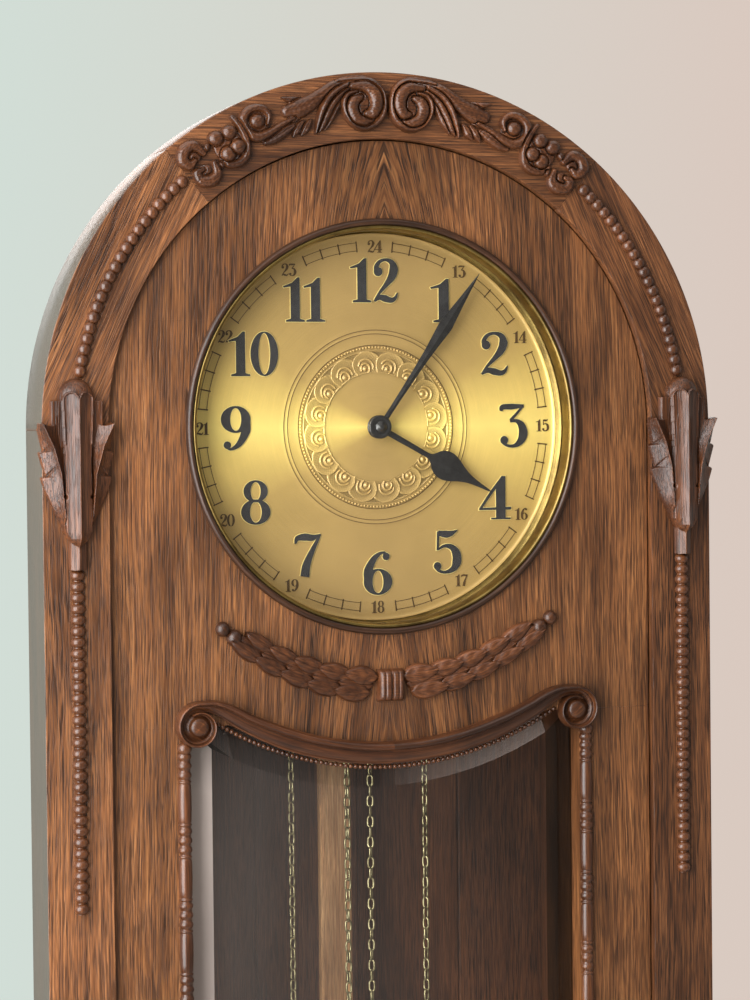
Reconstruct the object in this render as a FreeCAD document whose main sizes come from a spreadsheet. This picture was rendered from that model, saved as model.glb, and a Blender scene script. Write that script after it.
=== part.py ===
import FreeCAD, Part
import Sketcher
import math
import os
import re

# Longcase clock with an arched oak case, a full-length door, a brass dial, a chain-wound movement
# and a seconds pendulum. Millimetres, +Z up, the front faces -Y, the origin is under the middle.

V = FreeCAD.Vector
doc = FreeCAD.newDocument("LongcaseClock")
sheet = doc.addObject("Spreadsheet::Sheet", "Sizes")
places = doc.addObject("App::FeaturePython", "Places")
size_names = []
place_names = []
nodes = []
places.addProperty("App::PropertyFloat", "reading")


def set_size(name, value):
    size_names.append(name)
    cell = "B%d" % len(size_names)
    sheet.set("A%d" % len(size_names), name)
    sheet.set(cell, str(value))
    sheet.setAlias(cell, name)


def bound(text):
    """Expression text whose words are read from the sheet of sizes or from the derived places."""
    def prefix(match):
        word = match.group(0)
        if word in size_names:
            return "Sizes." + word
        if word in place_names:
            return "Places." + word
        return word
    return re.sub(r"[A-Za-z_]\w*", prefix, str(text))


def set_place(name, text):
    places.addProperty("App::PropertyFloat", name)
    places.setExpression(name, bound(text))
    place_names.append(name)


def number(text):
    """The present value of an expression, for shapes that are made in code."""
    places.setExpression("reading", bound(text))
    places.recompute()
    return places.reading


# Tooth counts of the going train and the motion work
GREAT_TEETH = 96
CENTRE_TEETH = 64
THIRD_TEETH = 60
TRAIN_LEAVES = 8
ESCAPE_TEETH = 30
CANNON_LEAVES = 12
MINUTE_TEETH = 36
MINUTE_LEAVES = 10
HOUR_TEETH = 40

# Direction from the centre of the dial to the stud of the minute wheel
MINUTE_HEADING = math.radians(-60)

# Shape of the teeth: width as a share of half the pitch, heights as shares of the module
TOOTH_SHARE = 0.46
TOOTH_ROOT = 0.9
TOOTH_HEIGHTS = (0, 0.45, 0.85, 1.1)
LEAF_SHARE = 0.38
LEAF_ROOT = 1.4
LEAF_TIP = 0.4
LEAF_TIP_SHARE = 0.5

# Escape teeth: depth of the gaps as a share of the radius, and where a gap starts and ends
ESCAPE_ROOT = 0.86
ESCAPE_GAP = (0.25, 0.75)

# Necks of the turned ornament as shares of the beads beside them
STRING_NECK = 0.6
COLUMN_NECK = 0.75
COLUMN_BEADS = 3

# Half outline of a leaf corbel and of its raised middle: share of the width, share of the rise or drop
CORBEL_HEAD = ((0.26, 1), (0.30, 0.45), (0.5, 0.3), (0.46, -0.3))
CORBEL_TAIL = ((0.2, 0.55), (0.1, 0.8), (0.1, 1))
CORBEL_RIDGE_HEAD = ((0.13, 1), (0.16, -0.2))
CORBEL_RIDGE_TAIL = ((0.06, 0.75),)
CORBEL_LEAF_SHARE = 0.6

# Scrolls of the crest: share of the half angle, share of half the band
CREST_SCROLLS = ((0.11, 0.85), (0.36, 0.6), (0.6, 0.5), (0.84, 0.7))

# Balls at each end of the swag: place in ball radii past the end, share of the full ball
SWAG_BALLS = (("Near", 0.5, 1), ("Far", 2.5, 0.85))

# Half outlines of the hands: share of the reach, half width
SPADE_HAND = ((0, 1.8), (0.62, 1.8), (0.68, 5), (0.74, 7.5), (0.82, 6), (0.9, 2), (1, 0.4))
LEAF_HAND = ((0, 1.7), (0.4, 2), (0.65, 3.5), (0.72, 2.4), (1, 0.4))

# Sizes of the case
set_size("frame_width", 500)
set_size("frame_band", 46.6)
set_size("frame_depth", 52)
set_size("dial_height", 1700)
set_size("case_depth", 217)
set_size("carcass_inset", 38)
set_size("side_thickness", 14)
set_size("back_thickness", 12)
set_size("bottom_rail_height", 60)
set_size("arch_joint_angle", 50)
set_size("plinth_height", 360)
set_size("plinth_wall", 22)
set_size("plinth_front_overhang", 25)
set_size("plinth_side_overhang", 30)
set_size("skirting_height", 70)
set_size("skirting_proud", 12)
set_size("skirting_bevel", 14)
set_size("cap_thickness", 18)
set_size("cap_cove", 14)
set_size("base_thickness", 25)
set_size("wall_screw_radius", 3.5)
set_size("wall_screw_height", 1500)

# Sizes of the door and its glass
set_size("door_gap", 1)
set_size("door_recess", 6)
set_size("door_thickness", 17)
set_size("door_joint_rise", 75)
set_size("door_rail_height", 120)
set_size("opening_width", 294)
set_size("apron_drop", 207)
set_size("apron_arc_radius", 238)
set_size("dial_hole_radius", 141)
set_size("glass_rim_radius", 146)
set_size("glass_rim_setback", 12)
set_size("glass_dome_radius", 475)
set_size("glass_thickness", 3)
set_size("glass_clearance", 0.5)
set_size("glass_rim_room", 2)
set_size("pane_thickness", 4)
set_size("pane_lap", 7)
set_size("lip_width", 8.5)
set_size("lip_height", 4.5)
set_size("lip_lap", 2)

# Sizes of the hinges and the lock
set_size("hinge_count", 3)
set_size("hinge_length", 60)
set_size("hinge_lowest", 480)
set_size("hinge_spacing", 360)
set_size("hinge_proud", 1)
set_size("knuckle_radius", 2.6)
set_size("knuckle_clearance", 0.3)
set_size("hinge_pin_radius", 1.2)
set_size("hinge_leaf_thickness", 1.4)
set_size("hinge_leaf_width", 19)
set_size("running_clearance", 0.05)
set_size("lock_height", 900)
set_size("lock_length", 80)
set_size("lock_width", 34)
set_size("lock_depth", 14)
set_size("lock_margin", 2)
set_size("lock_wall", 2)
set_size("lock_bolt_height", 24)
set_size("lock_bolt_thickness", 6)
set_size("lock_bolt_throw", 8)
set_size("lock_bolt_clearance", 0.3)

# Sizes of the carved and turned ornament
set_size("bead_radius", 4.6)
set_size("bead_pitch", 7.6)
set_size("string_top_drop", 95)
set_size("string_length", 235.6)
set_size("bead_gap", 0.3)
set_size("corbel_rise", 34.8)
set_size("corbel_width", 48)
set_size("corbel_proud", 16)
set_size("crest_half_angle", 40)
set_size("crest_margin", 3)
set_size("crest_proud", 8)
set_size("crest_ground", 3)
set_size("swag_radius", 183.5)
set_size("swag_width", 21)
set_size("swag_half_angle", 36.5)
set_size("swag_proud", 8)
set_size("swag_tie_width", 22)
set_size("swag_tie_lap", 2)
set_size("swag_tie_proud", 1)
set_size("swag_ball_radius", 5.5)
set_size("scroll_radius", 231.5)
set_size("scroll_width", 18)
set_size("scroll_half_angle", 33.5)
set_size("scroll_proud", 12)
set_size("volute_spread", 142)
set_size("volute_drop", 206.7)
set_size("volute_radius", 17)
set_size("column_offset", 4.5)
set_size("column_radius", 6)
set_size("column_bead_radius", 4.6)
set_size("column_period", 52)
set_size("column_bead_length", 5.4)

# Sizes of the dial and the hands
set_size("dial_depth", 29)
set_size("dial_thickness", 1.5)
set_size("dial_radius", 138)
set_size("dial_rim_height", 6)
set_size("dial_rim_flare", 5)
set_size("hand_thickness", 1)
set_size("hour_hand_lift", 5)
set_size("minute_hand_lift", 9)
set_size("hour_hand_reach", 100)
set_size("minute_hand_reach", 135.4)
set_size("hand_hub_radius", 8.5)
set_size("hour_hand_angle", 119)
set_size("minute_hand_angle", 35)

# Sizes of the movement
set_size("plate_depth", 55)
set_size("plate_thickness", 3)
set_size("plate_width", 144)
set_size("plate_headroom", 25)
set_size("pillar_radius", 4)
set_size("pillar_margin", 8)
set_size("seat_drop", 82)
set_size("seat_thickness", 18)
set_size("seat_front_margin", 2)
set_size("seat_back_margin", 10)
set_size("chain_slot_radius", 8)
set_size("arbor_radius", 1.5)
set_size("centre_arbor_radius", 2)
set_size("great_arbor_radius", 2.5)
set_size("cannon_radius", 3)
set_size("pipe_radius", 4.2)
set_size("wheel_thickness", 1.6)
set_size("pinion_length", 5)
set_size("great_module", 0.8)
set_size("centre_module", 0.7)
set_size("third_module", 0.6)
set_size("motion_module", 0.75)
set_size("great_spread", 30.5)
set_size("sprocket_radius", 21.5)
set_size("sprocket_width", 9)
set_size("sprocket_groove", 5.6)
set_size("chain_radius", 2.2)
set_size("chain_gap", 0.3)
set_size("great_setback", 7)
set_size("sprocket_step", 12)
set_size("wheel_gap", 2.8)
set_size("third_step", 5.5)
set_size("strike_step", 4.7)
set_size("escape_step", 7)
set_size("back_setback", 8.2)
set_size("motion_gap", 2)
set_size("strike_wheel_radius", 31)
set_size("lifting_pin_radius", 1.5)
set_size("lifting_pin_length", 5)
set_size("lifting_pin_count", 8)
set_size("escape_radius", 18)
set_size("third_heading", 59.5)
set_size("anchor_span", 1.41)
set_size("anchor_gap", 1.5)
set_size("pendulum_setback", 27)
set_size("crutch_gap", 4)
set_size("crutch_length", 90)
set_size("crutch_width", 4)
set_size("crutch_thickness", 2)

# Sizes of the pendulum, weights, hammer and gong
set_size("pendulum_length", 994)
set_size("rod_width", 25)
set_size("rod_thickness", 8)
set_size("bob_radius", 100)
set_size("bob_thickness", 30)
set_size("bob_rim", 6)
set_size("spring_length", 40)
set_size("spring_width", 8)
set_size("spring_thickness", 1)
set_size("suspension_gap", 0.3)
set_size("rating_nut_radius", 9)
set_size("rating_nut_height", 8)
set_size("rod_clearance", 0.3)
set_size("cock_rise", 10)
set_size("cock_height", 10)
set_size("cock_width", 24)
set_size("weight_radius", 23)
set_size("weight_length", 300)
set_size("weight_drop", 537)
set_size("ring_drop", 892)
set_size("ring_radius", 11)
set_size("ring_wire", 1.6)
set_size("hook_length", 25)
set_size("hammer_margin", 8)
set_size("hammer_setback", 23)
set_size("hammer_pivot_drop", 60)
set_size("hammer_reach", 48)
set_size("hammer_length", 92)
set_size("hammer_head_radius", 7)
set_size("gong_gap", 6)
set_size("gong_rod_count", 4)
set_size("gong_rod_pitch", 13)
set_size("gong_rod_radius", 2)
set_size("gong_rod_length", 70)
set_size("gong_block_height", 35)
set_size("gong_block_depth", 36)
doc.recompute()

# Places worked out from the sizes
set_place("half_depth", "(case_depth + plinth_front_overhang) / 2")
set_place("frame_half", "frame_width / 2")
set_place("frame_face", "plinth_front_overhang - half_depth")
set_place("frame_back", "frame_face + frame_depth")
set_place("opening_half", "frame_half - frame_band")
set_place("string_radius", "frame_half - frame_band / 2")
set_place("carcass_half", "frame_half - carcass_inset")
set_place("inner_half", "carcass_half - side_thickness")
set_place("back_face", "half_depth - back_thickness")
set_place("plinth_half", "frame_half + plinth_side_overhang")
set_place("plinth_inner", "plinth_half - skirting_proud - plinth_wall")
set_place("cap_width", "plinth_half - carcass_half")
set_place("cap_under", "plinth_height - cap_thickness")
set_place("rail_top", "plinth_height + bottom_rail_height")
set_place("door_half", "opening_half - door_gap")
set_place("door_face", "frame_face + door_recess")
set_place("door_back", "door_face + door_thickness")
set_place("door_bottom", "rail_top + door_gap")
set_place("pane_bottom", "door_bottom + door_rail_height")
set_place("door_joint", "dial_height + door_joint_rise")
set_place("apron_bottom", "dial_height - apron_drop")
set_place("glass_half", "opening_width / 2")
set_place("column_spread", "glass_half + column_offset")
set_place("rebate_radius", "glass_rim_radius + glass_clearance")
set_place("glass_edge", "door_face + glass_rim_setback")
set_place("rebate_face", "glass_edge - glass_rim_room")
set_place("bolt_y", "door_back + lock_depth / 2")
set_place("lock_edge", "-glass_half - pane_lap - lock_margin - lock_width")
set_place("hinge_x", "door_half + door_gap / 2")
set_place("hinge_y", "frame_face - hinge_proud")
set_place("dial_face", "frame_face + dial_depth")
set_place("dial_back", "dial_face + dial_thickness")
set_place("plate_front", "frame_face + plate_depth")
set_place("plate_inside", "plate_front + plate_thickness")
set_place("great_y", "plate_inside + great_setback")
set_place("chain_y", "great_y + sprocket_step")
set_place("centre_y", "chain_y + sprocket_width / 2 + wheel_gap")
set_place("third_y", "centre_y + third_step")
set_place("strike_y", "third_y + strike_step")
set_place("escape_y", "third_y + escape_step")
set_place("back_plate_inside", "escape_y + back_setback")
set_place("back_plate_back", "back_plate_inside + plate_thickness")
set_place("seat_top", "dial_height - seat_drop")
set_place("seat_under", "seat_top - seat_thickness")
set_place("pendulum_y", "back_plate_back + pendulum_setback")
set_place("third_distance", "centre_module * %d / 2" % (CENTRE_TEETH + TRAIN_LEAVES))
set_place("third_x", "third_distance * cos(third_heading * 1 deg)")
set_place("third_z", "dial_height + third_distance * sin(third_heading * 1 deg)")
set_place("escape_distance", "third_module * %d / 2" % (THIRD_TEETH + TRAIN_LEAVES))
set_place("escape_z", "third_z + sqrt(escape_distance ^ 2 - third_x ^ 2)")
set_place("anchor_z", "escape_z + anchor_span * escape_radius")
set_place("plate_top", "anchor_z + plate_headroom")
set_place("bob_z", "anchor_z - pendulum_length")
set_place("rod_front", "pendulum_y - rod_thickness / 2")
set_place("rod_back", "pendulum_y + rod_thickness / 2")
set_place("cock_under", "anchor_z + cock_rise")
set_place("crutch_back", "rod_front - crutch_gap")
set_place("hour_module", "motion_module * %d / %d" % (CANNON_LEAVES + MINUTE_TEETH, MINUTE_LEAVES + HOUR_TEETH))
set_place("motion_distance", "motion_module * %d / 2" % (CANNON_LEAVES + MINUTE_TEETH))
set_place("motion_y", "plate_front - motion_gap - pinion_length / 2")
set_place("hour_y", "plate_front - 2 * motion_gap - pinion_length - wheel_thickness / 2")
set_place("hour_hand_back", "dial_face - hour_hand_lift")
set_place("minute_hand_back", "dial_face - minute_hand_lift")
set_place("great_distance", "great_module * %d / 2" % (GREAT_TEETH + TRAIN_LEAVES))
set_place("great_z", "dial_height - sqrt(great_distance ^ 2 - great_spread ^ 2)")
set_place("weight_x", "great_spread + sprocket_radius")
set_place("ring_x", "great_spread - sprocket_radius")
set_place("weight_top", "great_z - weight_drop")
set_place("ring_top", "great_z - ring_drop")
set_place("hammer_z", "dial_height - hammer_pivot_drop")
set_place("hammer_x", "plate_width / 2 - hammer_margin")
set_place("hammer_y", "pendulum_y + hammer_setback")
set_place("hammer_tip_z", "hammer_z - hammer_length")
set_place("gong_x", "hammer_x + hammer_reach + hammer_head_radius + gong_gap + gong_rod_radius")
set_place("gong_under", "hammer_tip_z + 3 * hammer_head_radius")
doc.recompute()


# Bound primitives, booleans and nodes
def node(label, item):
    item.Label = label
    nodes.append(item)
    return item


def move(item, x, y, z):
    item.setExpression("Placement.Base.x", bound(x))
    item.setExpression("Placement.Base.y", bound(y))
    item.setExpression("Placement.Base.z", bound(z))
    return item


def box(name, low, high):
    item = doc.addObject("Part::Box", name)
    for side, start, end in zip(("Length", "Width", "Height"), low, high):
        item.setExpression(side, bound("(%s) - (%s)" % (end, start)))
    return move(item, *low)


def disc(name, radius, front, back, x=0, z="dial_height", sweep=360, start=0):
    """A round piece whose axis lies along Y. A sector starts at an angle counted from +X to +Z."""
    item = doc.addObject("Part::Cylinder", name)
    item.setExpression("Radius", bound(radius))
    item.setExpression("Height", bound("(%s) - (%s)" % (back, front)))
    item.setExpression("Angle", bound(sweep))
    stand = FreeCAD.Rotation(V(1, 0, 0), 90)
    item.Placement = FreeCAD.Placement(V(), stand * FreeCAD.Rotation(V(0, 0, 1), start))
    return move(item, x, back, z)


def upright(name, radius, low, high, x, y):
    item = doc.addObject("Part::Cylinder", name)
    item.setExpression("Radius", bound(radius))
    item.setExpression("Height", bound("(%s) - (%s)" % (high, low)))
    return move(item, x, y, low)


def ball(name, radius, x, y, z):
    item = doc.addObject("Part::Sphere", name)
    item.setExpression("Radius", bound(radius))
    return move(item, x, y, z)


def fuse(name, items):
    item = doc.addObject("Part::MultiFuse", name)
    item.Shapes = items
    return item


def cut(name, base, tools):
    item = doc.addObject("Part::Cut", name)
    item.Base = base
    item.Tool = tools[0] if len(tools) == 1 else fuse(name + "Tools", tools)
    return item


def common(name, first, second):
    item = doc.addObject("Part::Common", name)
    item.Base = first
    item.Tool = second
    return item


def group(name, items):
    item = doc.addObject("Part::Compound", name)
    item.Links = items
    return item


def solid(name, shape):
    item = doc.addObject("Part::Feature", name)
    item.Shape = shape
    return item


def ring_sector(name, inner, outer, front, back, sweep, start):
    whole = disc(name + "Outer", outer, front, back, sweep=sweep, start=start)
    hole = disc(name + "Inner", inner, front, back, sweep=sweep, start=start)
    return cut(name, whole, [hole])


def prism(points, front, back):
    """A flat outline in X and Z, between two depths."""
    corners = [V(x, front, z) for x, z in points]
    face = Part.Face(Part.makePolygon(corners + corners[:1]))
    return face.extrude(V(0, back - front, 0))


def rod(radius, front, back, x, z):
    return Part.makeCylinder(radius, back - front, V(x, front, z), V(0, 1, 0))


def turned(name, outline):
    """A turned body: its outline lists radius and height as expressions, both above zero."""
    body = doc.addObject("PartDesign::Body", name)
    origin = {item.Role: item for item in body.Origin.OriginFeatures}
    sketch = body.newObject("Sketcher::SketchObject", name + "Profile")
    sketch.AttachmentSupport = [(origin["XZ_Plane"], "")]
    sketch.MapMode = "FlatFace"
    doc.recompute()
    guess = [V(number(radius), number(height), 0) for radius, height in outline]
    for first, second in zip(guess, guess[1:] + guess[:1]):
        sketch.addGeometry(Part.LineSegment(first, second), False)
    count = len(guess)
    for index in range(count):
        following = (index + 1) % count
        sketch.addConstraint(Sketcher.Constraint("Coincident", index, 2, following, 1))
    for index, (radius, height) in enumerate(outline):
        for kind, axis, text, datum in (("DistanceX", -2, radius, guess[index].x),
                                        ("DistanceY", -1, height, guess[index].y)):
            if datum == 0:
                sketch.addConstraint(Sketcher.Constraint("PointOnObject", index, 1, axis))
                continue
            place = sketch.addConstraint(Sketcher.Constraint(kind, -1, 1, index, 1, datum))
            sketch.setExpression("Constraints[%d]" % place, bound(text))
    turn = body.newObject("PartDesign::Revolution", name + "Turn")
    turn.Profile = sketch
    turn.ReferenceAxis = (sketch, ["V_Axis"])
    turn.Angle = 360
    body.Tip = turn
    return body


# Plinth: skirting, wall and cap as one moulded board for each side, mitred at the front corners
def plinth_board(start, inward, run, plan):
    proud = number("skirting_proud")
    wall = proud + number("plinth_wall")
    skirting = number("skirting_height")
    under = number("cap_under")
    top = number("plinth_height")
    width = number("cap_width")
    profile = [(0, 0), (0, skirting), (proud, skirting + number("skirting_bevel"))]
    profile += [(proud, under - number("cap_cove")), (0, under), (0, top)]
    profile += [(width, top), (width, under), (wall, under), (wall, 0)]
    corners = [start + inward * depth + V(0, 0, height) for depth, height in profile]
    board = Part.Face(Part.makePolygon(corners + corners[:1])).extrude(run)
    outline = [V(x, y, 0) for x, y in plan]
    mitre = Part.Face(Part.makePolygon(outline + outline[:1])).extrude(V(0, 0, top))
    return board.common(mitre)


def plinth():
    half = number("plinth_half")
    depth = number("half_depth")
    width = number("cap_width")
    front_plan = [(-half, -depth), (half, -depth), (half - width, width - depth), (width - half, width - depth)]
    front = plinth_board(V(-half, -depth, 0), V(0, 1, 0), V(2 * half, 0, 0), front_plan)
    node("plinth_front", solid("PlinthFront", front))
    for label, side in (("plinth_left", -1), ("plinth_right", 1)):
        inner = side * (half - width)
        plan = [(side * half, -depth), (side * half, depth), (inner, depth), (inner, width - depth)]
        board = plinth_board(V(side * half, -depth, 0), V(-side, 0, 0), V(0, 2 * depth, 0), plan)
        node(label, solid(label, board))
    low = ("-plinth_inner", "skirting_proud + plinth_wall - half_depth", 0)
    node("base_board", box("BaseBoard", low, ("plinth_inner", "back_face", "base_thickness")))


# Front frame: two stiles, a bottom rail and three arch segments, with the seats of hinges and bolt
def hinge_heights():
    count = int(number("hinge_count"))
    return ["hinge_lowest + %d * hinge_spacing" % index for index in range(count)]


def hinge_seats(name, low_x, high_x):
    """The mortises of the hinge leaves, with room round the knuckles."""
    seats = []
    for index, low in enumerate(hinge_heights()):
        top = low + " + hinge_length"
        leaf_back = "hinge_y + hinge_leaf_width"
        seats.append(box("%sLeaf%d" % (name, index), (low_x, "hinge_y", low), (high_x, leaf_back, top)))
        room = "knuckle_radius + knuckle_clearance"
        seats.append(upright("%sRoom%d" % (name, index), room, low, top, "hinge_x", "hinge_y"))
    return seats


def front_frame():
    plain = box("StileLeftPlain", ("-frame_half", "frame_face", "plinth_height"),
                ("-opening_half", "frame_back", "dial_height"))
    mortise_depth = "-opening_half - lock_bolt_throw - door_gap"
    gap = "lock_bolt_clearance"
    mortise = box("BoltMortise",
                  (mortise_depth, "bolt_y - lock_bolt_thickness / 2 - " + gap,
                   "lock_height - lock_bolt_height / 2 - " + gap),
                  ("-opening_half", "bolt_y + lock_bolt_thickness / 2 + " + gap,
                   "lock_height + lock_bolt_height / 2 + " + gap))
    node("stile_left", cut("StileLeft", plain, [mortise]))
    plain = box("StileRightPlain", ("opening_half", "frame_face", "plinth_height"),
                ("frame_half", "frame_back", "dial_height"))
    seats = hinge_seats("StileSeat", "opening_half", "opening_half + hinge_leaf_thickness")
    node("stile_right", cut("StileRight", plain, seats))
    node("frame_bottom_rail", box("BottomRail", ("-opening_half", "frame_face", "plinth_height"),
                                  ("opening_half", "frame_back", "rail_top")))
    joint = number("arch_joint_angle")
    segments = (("arch_right", "arch_joint_angle", 0),
                ("arch_crown", "180 - 2 * arch_joint_angle", joint),
                ("arch_left", "arch_joint_angle", 180 - joint))
    for label, sweep, start in segments:
        node(label, ring_sector(label, "opening_half", "frame_half", "frame_face", "frame_back", sweep, start))


# Carcass behind the frame: two sides, a bent roof and a back board with a hole for a wall screw
def carcass():
    for label, low, high in (("side_left", "-carcass_half", "-inner_half"),
                             ("side_right", "inner_half", "carcass_half")):
        node(label, box(label, (low, "frame_back", "base_thickness"), (high, "back_face", "dial_height")))
    node("roof_panel", ring_sector("Roof", "inner_half", "carcass_half", "frame_back", "back_face", 180, 0))
    lower = box("BackLower", ("-plinth_inner", "back_face", 0), ("plinth_inner", "half_depth", "cap_under"))
    upper = box("BackUpper", ("-carcass_half", "back_face", "cap_under"),
                ("carcass_half", "half_depth", "dial_height"))
    arch = disc("BackArch", "carcass_half", "back_face", "half_depth", sweep=180)
    hole = disc("WallScrewHole", "wall_screw_radius", "back_face", "half_depth", z="wall_screw_height")
    node("back_board", cut("BackBoard", fuse("BackWhole", [lower, upper, arch]), [hole]))


# Door: two stiles, a bottom rail, an apron and an arched head with the dial hole, and the glass
def dial_hole(name):
    hole = disc(name + "Hole", "dial_hole_radius", "door_face", "door_back")
    rebate = disc(name + "Rebate", "rebate_radius", "rebate_face", "door_back")
    return [hole, rebate]


def door_frame():
    node("door_stile_left", box("DoorStileLeft", ("-door_half", "door_face", "door_bottom"),
                                ("-glass_half", "door_back", "apron_bottom")))
    plain = box("DoorStileRightPlain", ("glass_half", "door_face", "door_bottom"),
                ("door_half", "door_back", "apron_bottom"))
    seats = hinge_seats("DoorSeat", "door_half - hinge_leaf_thickness", "door_half")
    node("door_stile_right", cut("DoorStileRight", plain, seats))
    node("door_bottom_rail", box("DoorBottomRail", ("-glass_half", "door_face", "door_bottom"),
                                 ("glass_half", "door_back", "pane_bottom")))
    board = box("ApronBoard", ("-door_half", "door_face", "apron_bottom"),
                ("door_half", "door_back", "door_joint"))
    sweep = disc("ApronSweep", "apron_arc_radius", "door_face", "door_back")
    below = box("ApronBelow", ("-glass_half", "door_face", "dial_height - apron_arc_radius"),
                ("glass_half", "door_back", "apron_bottom"))
    hanging = common("ApronHanging", sweep, below)
    arch = disc("ApronArch", "door_half", "door_face", "door_back", sweep=180)
    spring = box("ApronSpring", ("-door_half", "door_face", "apron_bottom"),
                 ("door_half", "door_back", "dial_height"))
    shoulders = common("ApronShoulders", board, fuse("ApronOutline", [arch, spring]))
    node("door_apron", cut("DoorApron", fuse("ApronWhole", [shoulders, hanging]), dial_hole("Apron")))
    arch = disc("HeadArch", "door_half", "door_face", "door_back", sweep=180)
    upper = box("HeadUpper", ("-door_half", "door_face", "door_joint"),
                ("door_half", "door_back", "dial_height + door_half"))
    node("door_head", cut("DoorHead", common("HeadWhole", arch, upper), dial_hole("Head")))


def door_glass():
    node("door_glass", box("DoorPane", ("-glass_half - pane_lap", "door_back", "pane_bottom - pane_lap"),
                           ("glass_half + pane_lap", "door_back + pane_thickness", "apron_bottom + pane_lap")))
    dome = number("glass_dome_radius")
    rim = number("glass_rim_radius")
    centre = V(0, number("glass_edge") + math.sqrt(dome ** 2 - rim ** 2), number("dial_height"))
    shell = Part.makeSphere(dome, centre).cut(Part.makeSphere(dome - number("glass_thickness"), centre))
    apex = centre.y - dome
    keep = rod(rim, apex - dome, number("glass_edge + glass_thickness"), 0, centre.z)
    node("dial_glass", solid("DialGlass", shell.common(keep)))
    inner = number("dial_hole_radius - lip_lap")
    middle = inner + number("lip_width / 2")
    face = number("door_face")
    tall = number("lip_height")
    start = V(inner, face, 0)
    end = V(inner + number("lip_width"), face, 0)
    crown = Part.Arc(start, V(middle, face - tall, 0), end).toShape()
    section = Part.Face(Part.Wire([crown, Part.makeLine(end, start)]))
    section.translate(V(0, 0, number("dial_height")))
    lip = section.revolve(V(0, 0, number("dial_height")), V(0, 1, 0), 360)
    node("dial_lip", solid("DialLip", lip))


# Butt hinges in the corner between the door and the right stile, and the lock on the left
def hinges():
    case_items = []
    door_items = []
    third = "hinge_length / 3"
    slack = "knuckle_clearance"
    for index, low in enumerate(hinge_heights()):
        top = low + " + hinge_length"
        room = "knuckle_radius + knuckle_clearance"
        leaf_back = "hinge_y + hinge_leaf_width"
        tag = "Hinge%d" % index
        first = low + " + " + third
        second = low + " + 2 * " + third

        def knuckle(name, start, end):
            return upright(tag + name, "knuckle_radius", start, end, "hinge_x", "hinge_y")

        plain = box(tag + "CaseLeafPlain", ("opening_half", "hinge_y", low),
                    ("opening_half + hinge_leaf_thickness", leaf_back, top))
        middle = upright(tag + "MiddleRoom", room, first + " - " + slack, second + " + " + slack,
                         "hinge_x", "hinge_y")
        leaf = cut(tag + "CaseLeaf", plain, [middle])
        pin = upright(tag + "Pin", "hinge_pin_radius", low, top, "hinge_x", "hinge_y")
        lower = knuckle("Lower", low, first)
        upper = knuckle("Upper", second, top)
        case_items.append(fuse(tag + "Case", [leaf, lower, upper, pin]))
        plain = box(tag + "DoorLeafPlain", ("door_half - hinge_leaf_thickness", "hinge_y", low),
                    ("door_half", leaf_back, top))
        below = upright(tag + "LowerRoom", room, low, first + " + " + slack, "hinge_x", "hinge_y")
        above = upright(tag + "UpperRoom", room, second + " - " + slack, top, "hinge_x", "hinge_y")
        leaf = cut(tag + "DoorLeaf", plain, [below, above])
        barrel = knuckle("Middle", first + " + " + slack, second + " - " + slack)
        bore = upright(tag + "Bore", "hinge_pin_radius + running_clearance", low, top, "hinge_x", "hinge_y")
        door_items.append(cut(tag + "Door", fuse(tag + "DoorWhole", [leaf, barrel]), [bore]))
    node("case_hinge_leaves", group("CaseHinges", case_items))
    node("door_hinge_leaves", group("DoorHinges", door_items))


def lock():
    half = "lock_length / 2"
    thick = "lock_bolt_thickness / 2"
    tall = "lock_bolt_height / 2"
    gap = "lock_bolt_clearance"
    plain = box("LockPlain", ("lock_edge", "door_back", "lock_height - " + half),
                ("lock_edge + lock_width", "door_back + lock_depth", "lock_height + " + half))
    bolt_end = "lock_edge + lock_width - lock_wall"
    channel = box("LockChannel",
                  ("lock_edge", "bolt_y - %s - %s" % (thick, gap), "lock_height - %s - %s" % (tall, gap)),
                  (bolt_end, "bolt_y + %s + %s" % (thick, gap), "lock_height + %s + %s" % (tall, gap)))
    node("lock_case", cut("LockCase", plain, [channel]))
    node("lock_bolt", box("LockBolt", ("-door_half", "bolt_y - " + thick, "lock_height - " + tall),
                          (bolt_end + " - " + gap, "bolt_y + " + thick, "lock_height + " + tall)))


# Carved and turned ornament
def half_turned(profile, x, y):
    """The front half of a turned piece: its edges lie in a plane through its upright axis."""
    wire = Part.Wire(profile)
    section = Part.Face(wire)
    section.translate(V(x, y, 0))
    return section.revolve(V(x, y, 0), V(0, 0, 1), -180)


def bulge(low, high, neck, radius):
    """An arc from one neck of a turned piece to the next."""
    return Part.Arc(V(neck, 0, low), V(radius, 0, (low + high) / 2), V(neck, 0, high)).toShape()


def closed_profile(edges, low, high):
    first = edges[0].Vertexes[0].Point
    last = edges[-1].Vertexes[-1].Point
    edges = [Part.makeLine(V(0, 0, low), first)] + edges
    return edges + [Part.makeLine(last, V(0, 0, high)), Part.makeLine(V(0, 0, high), V(0, 0, low))]


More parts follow.
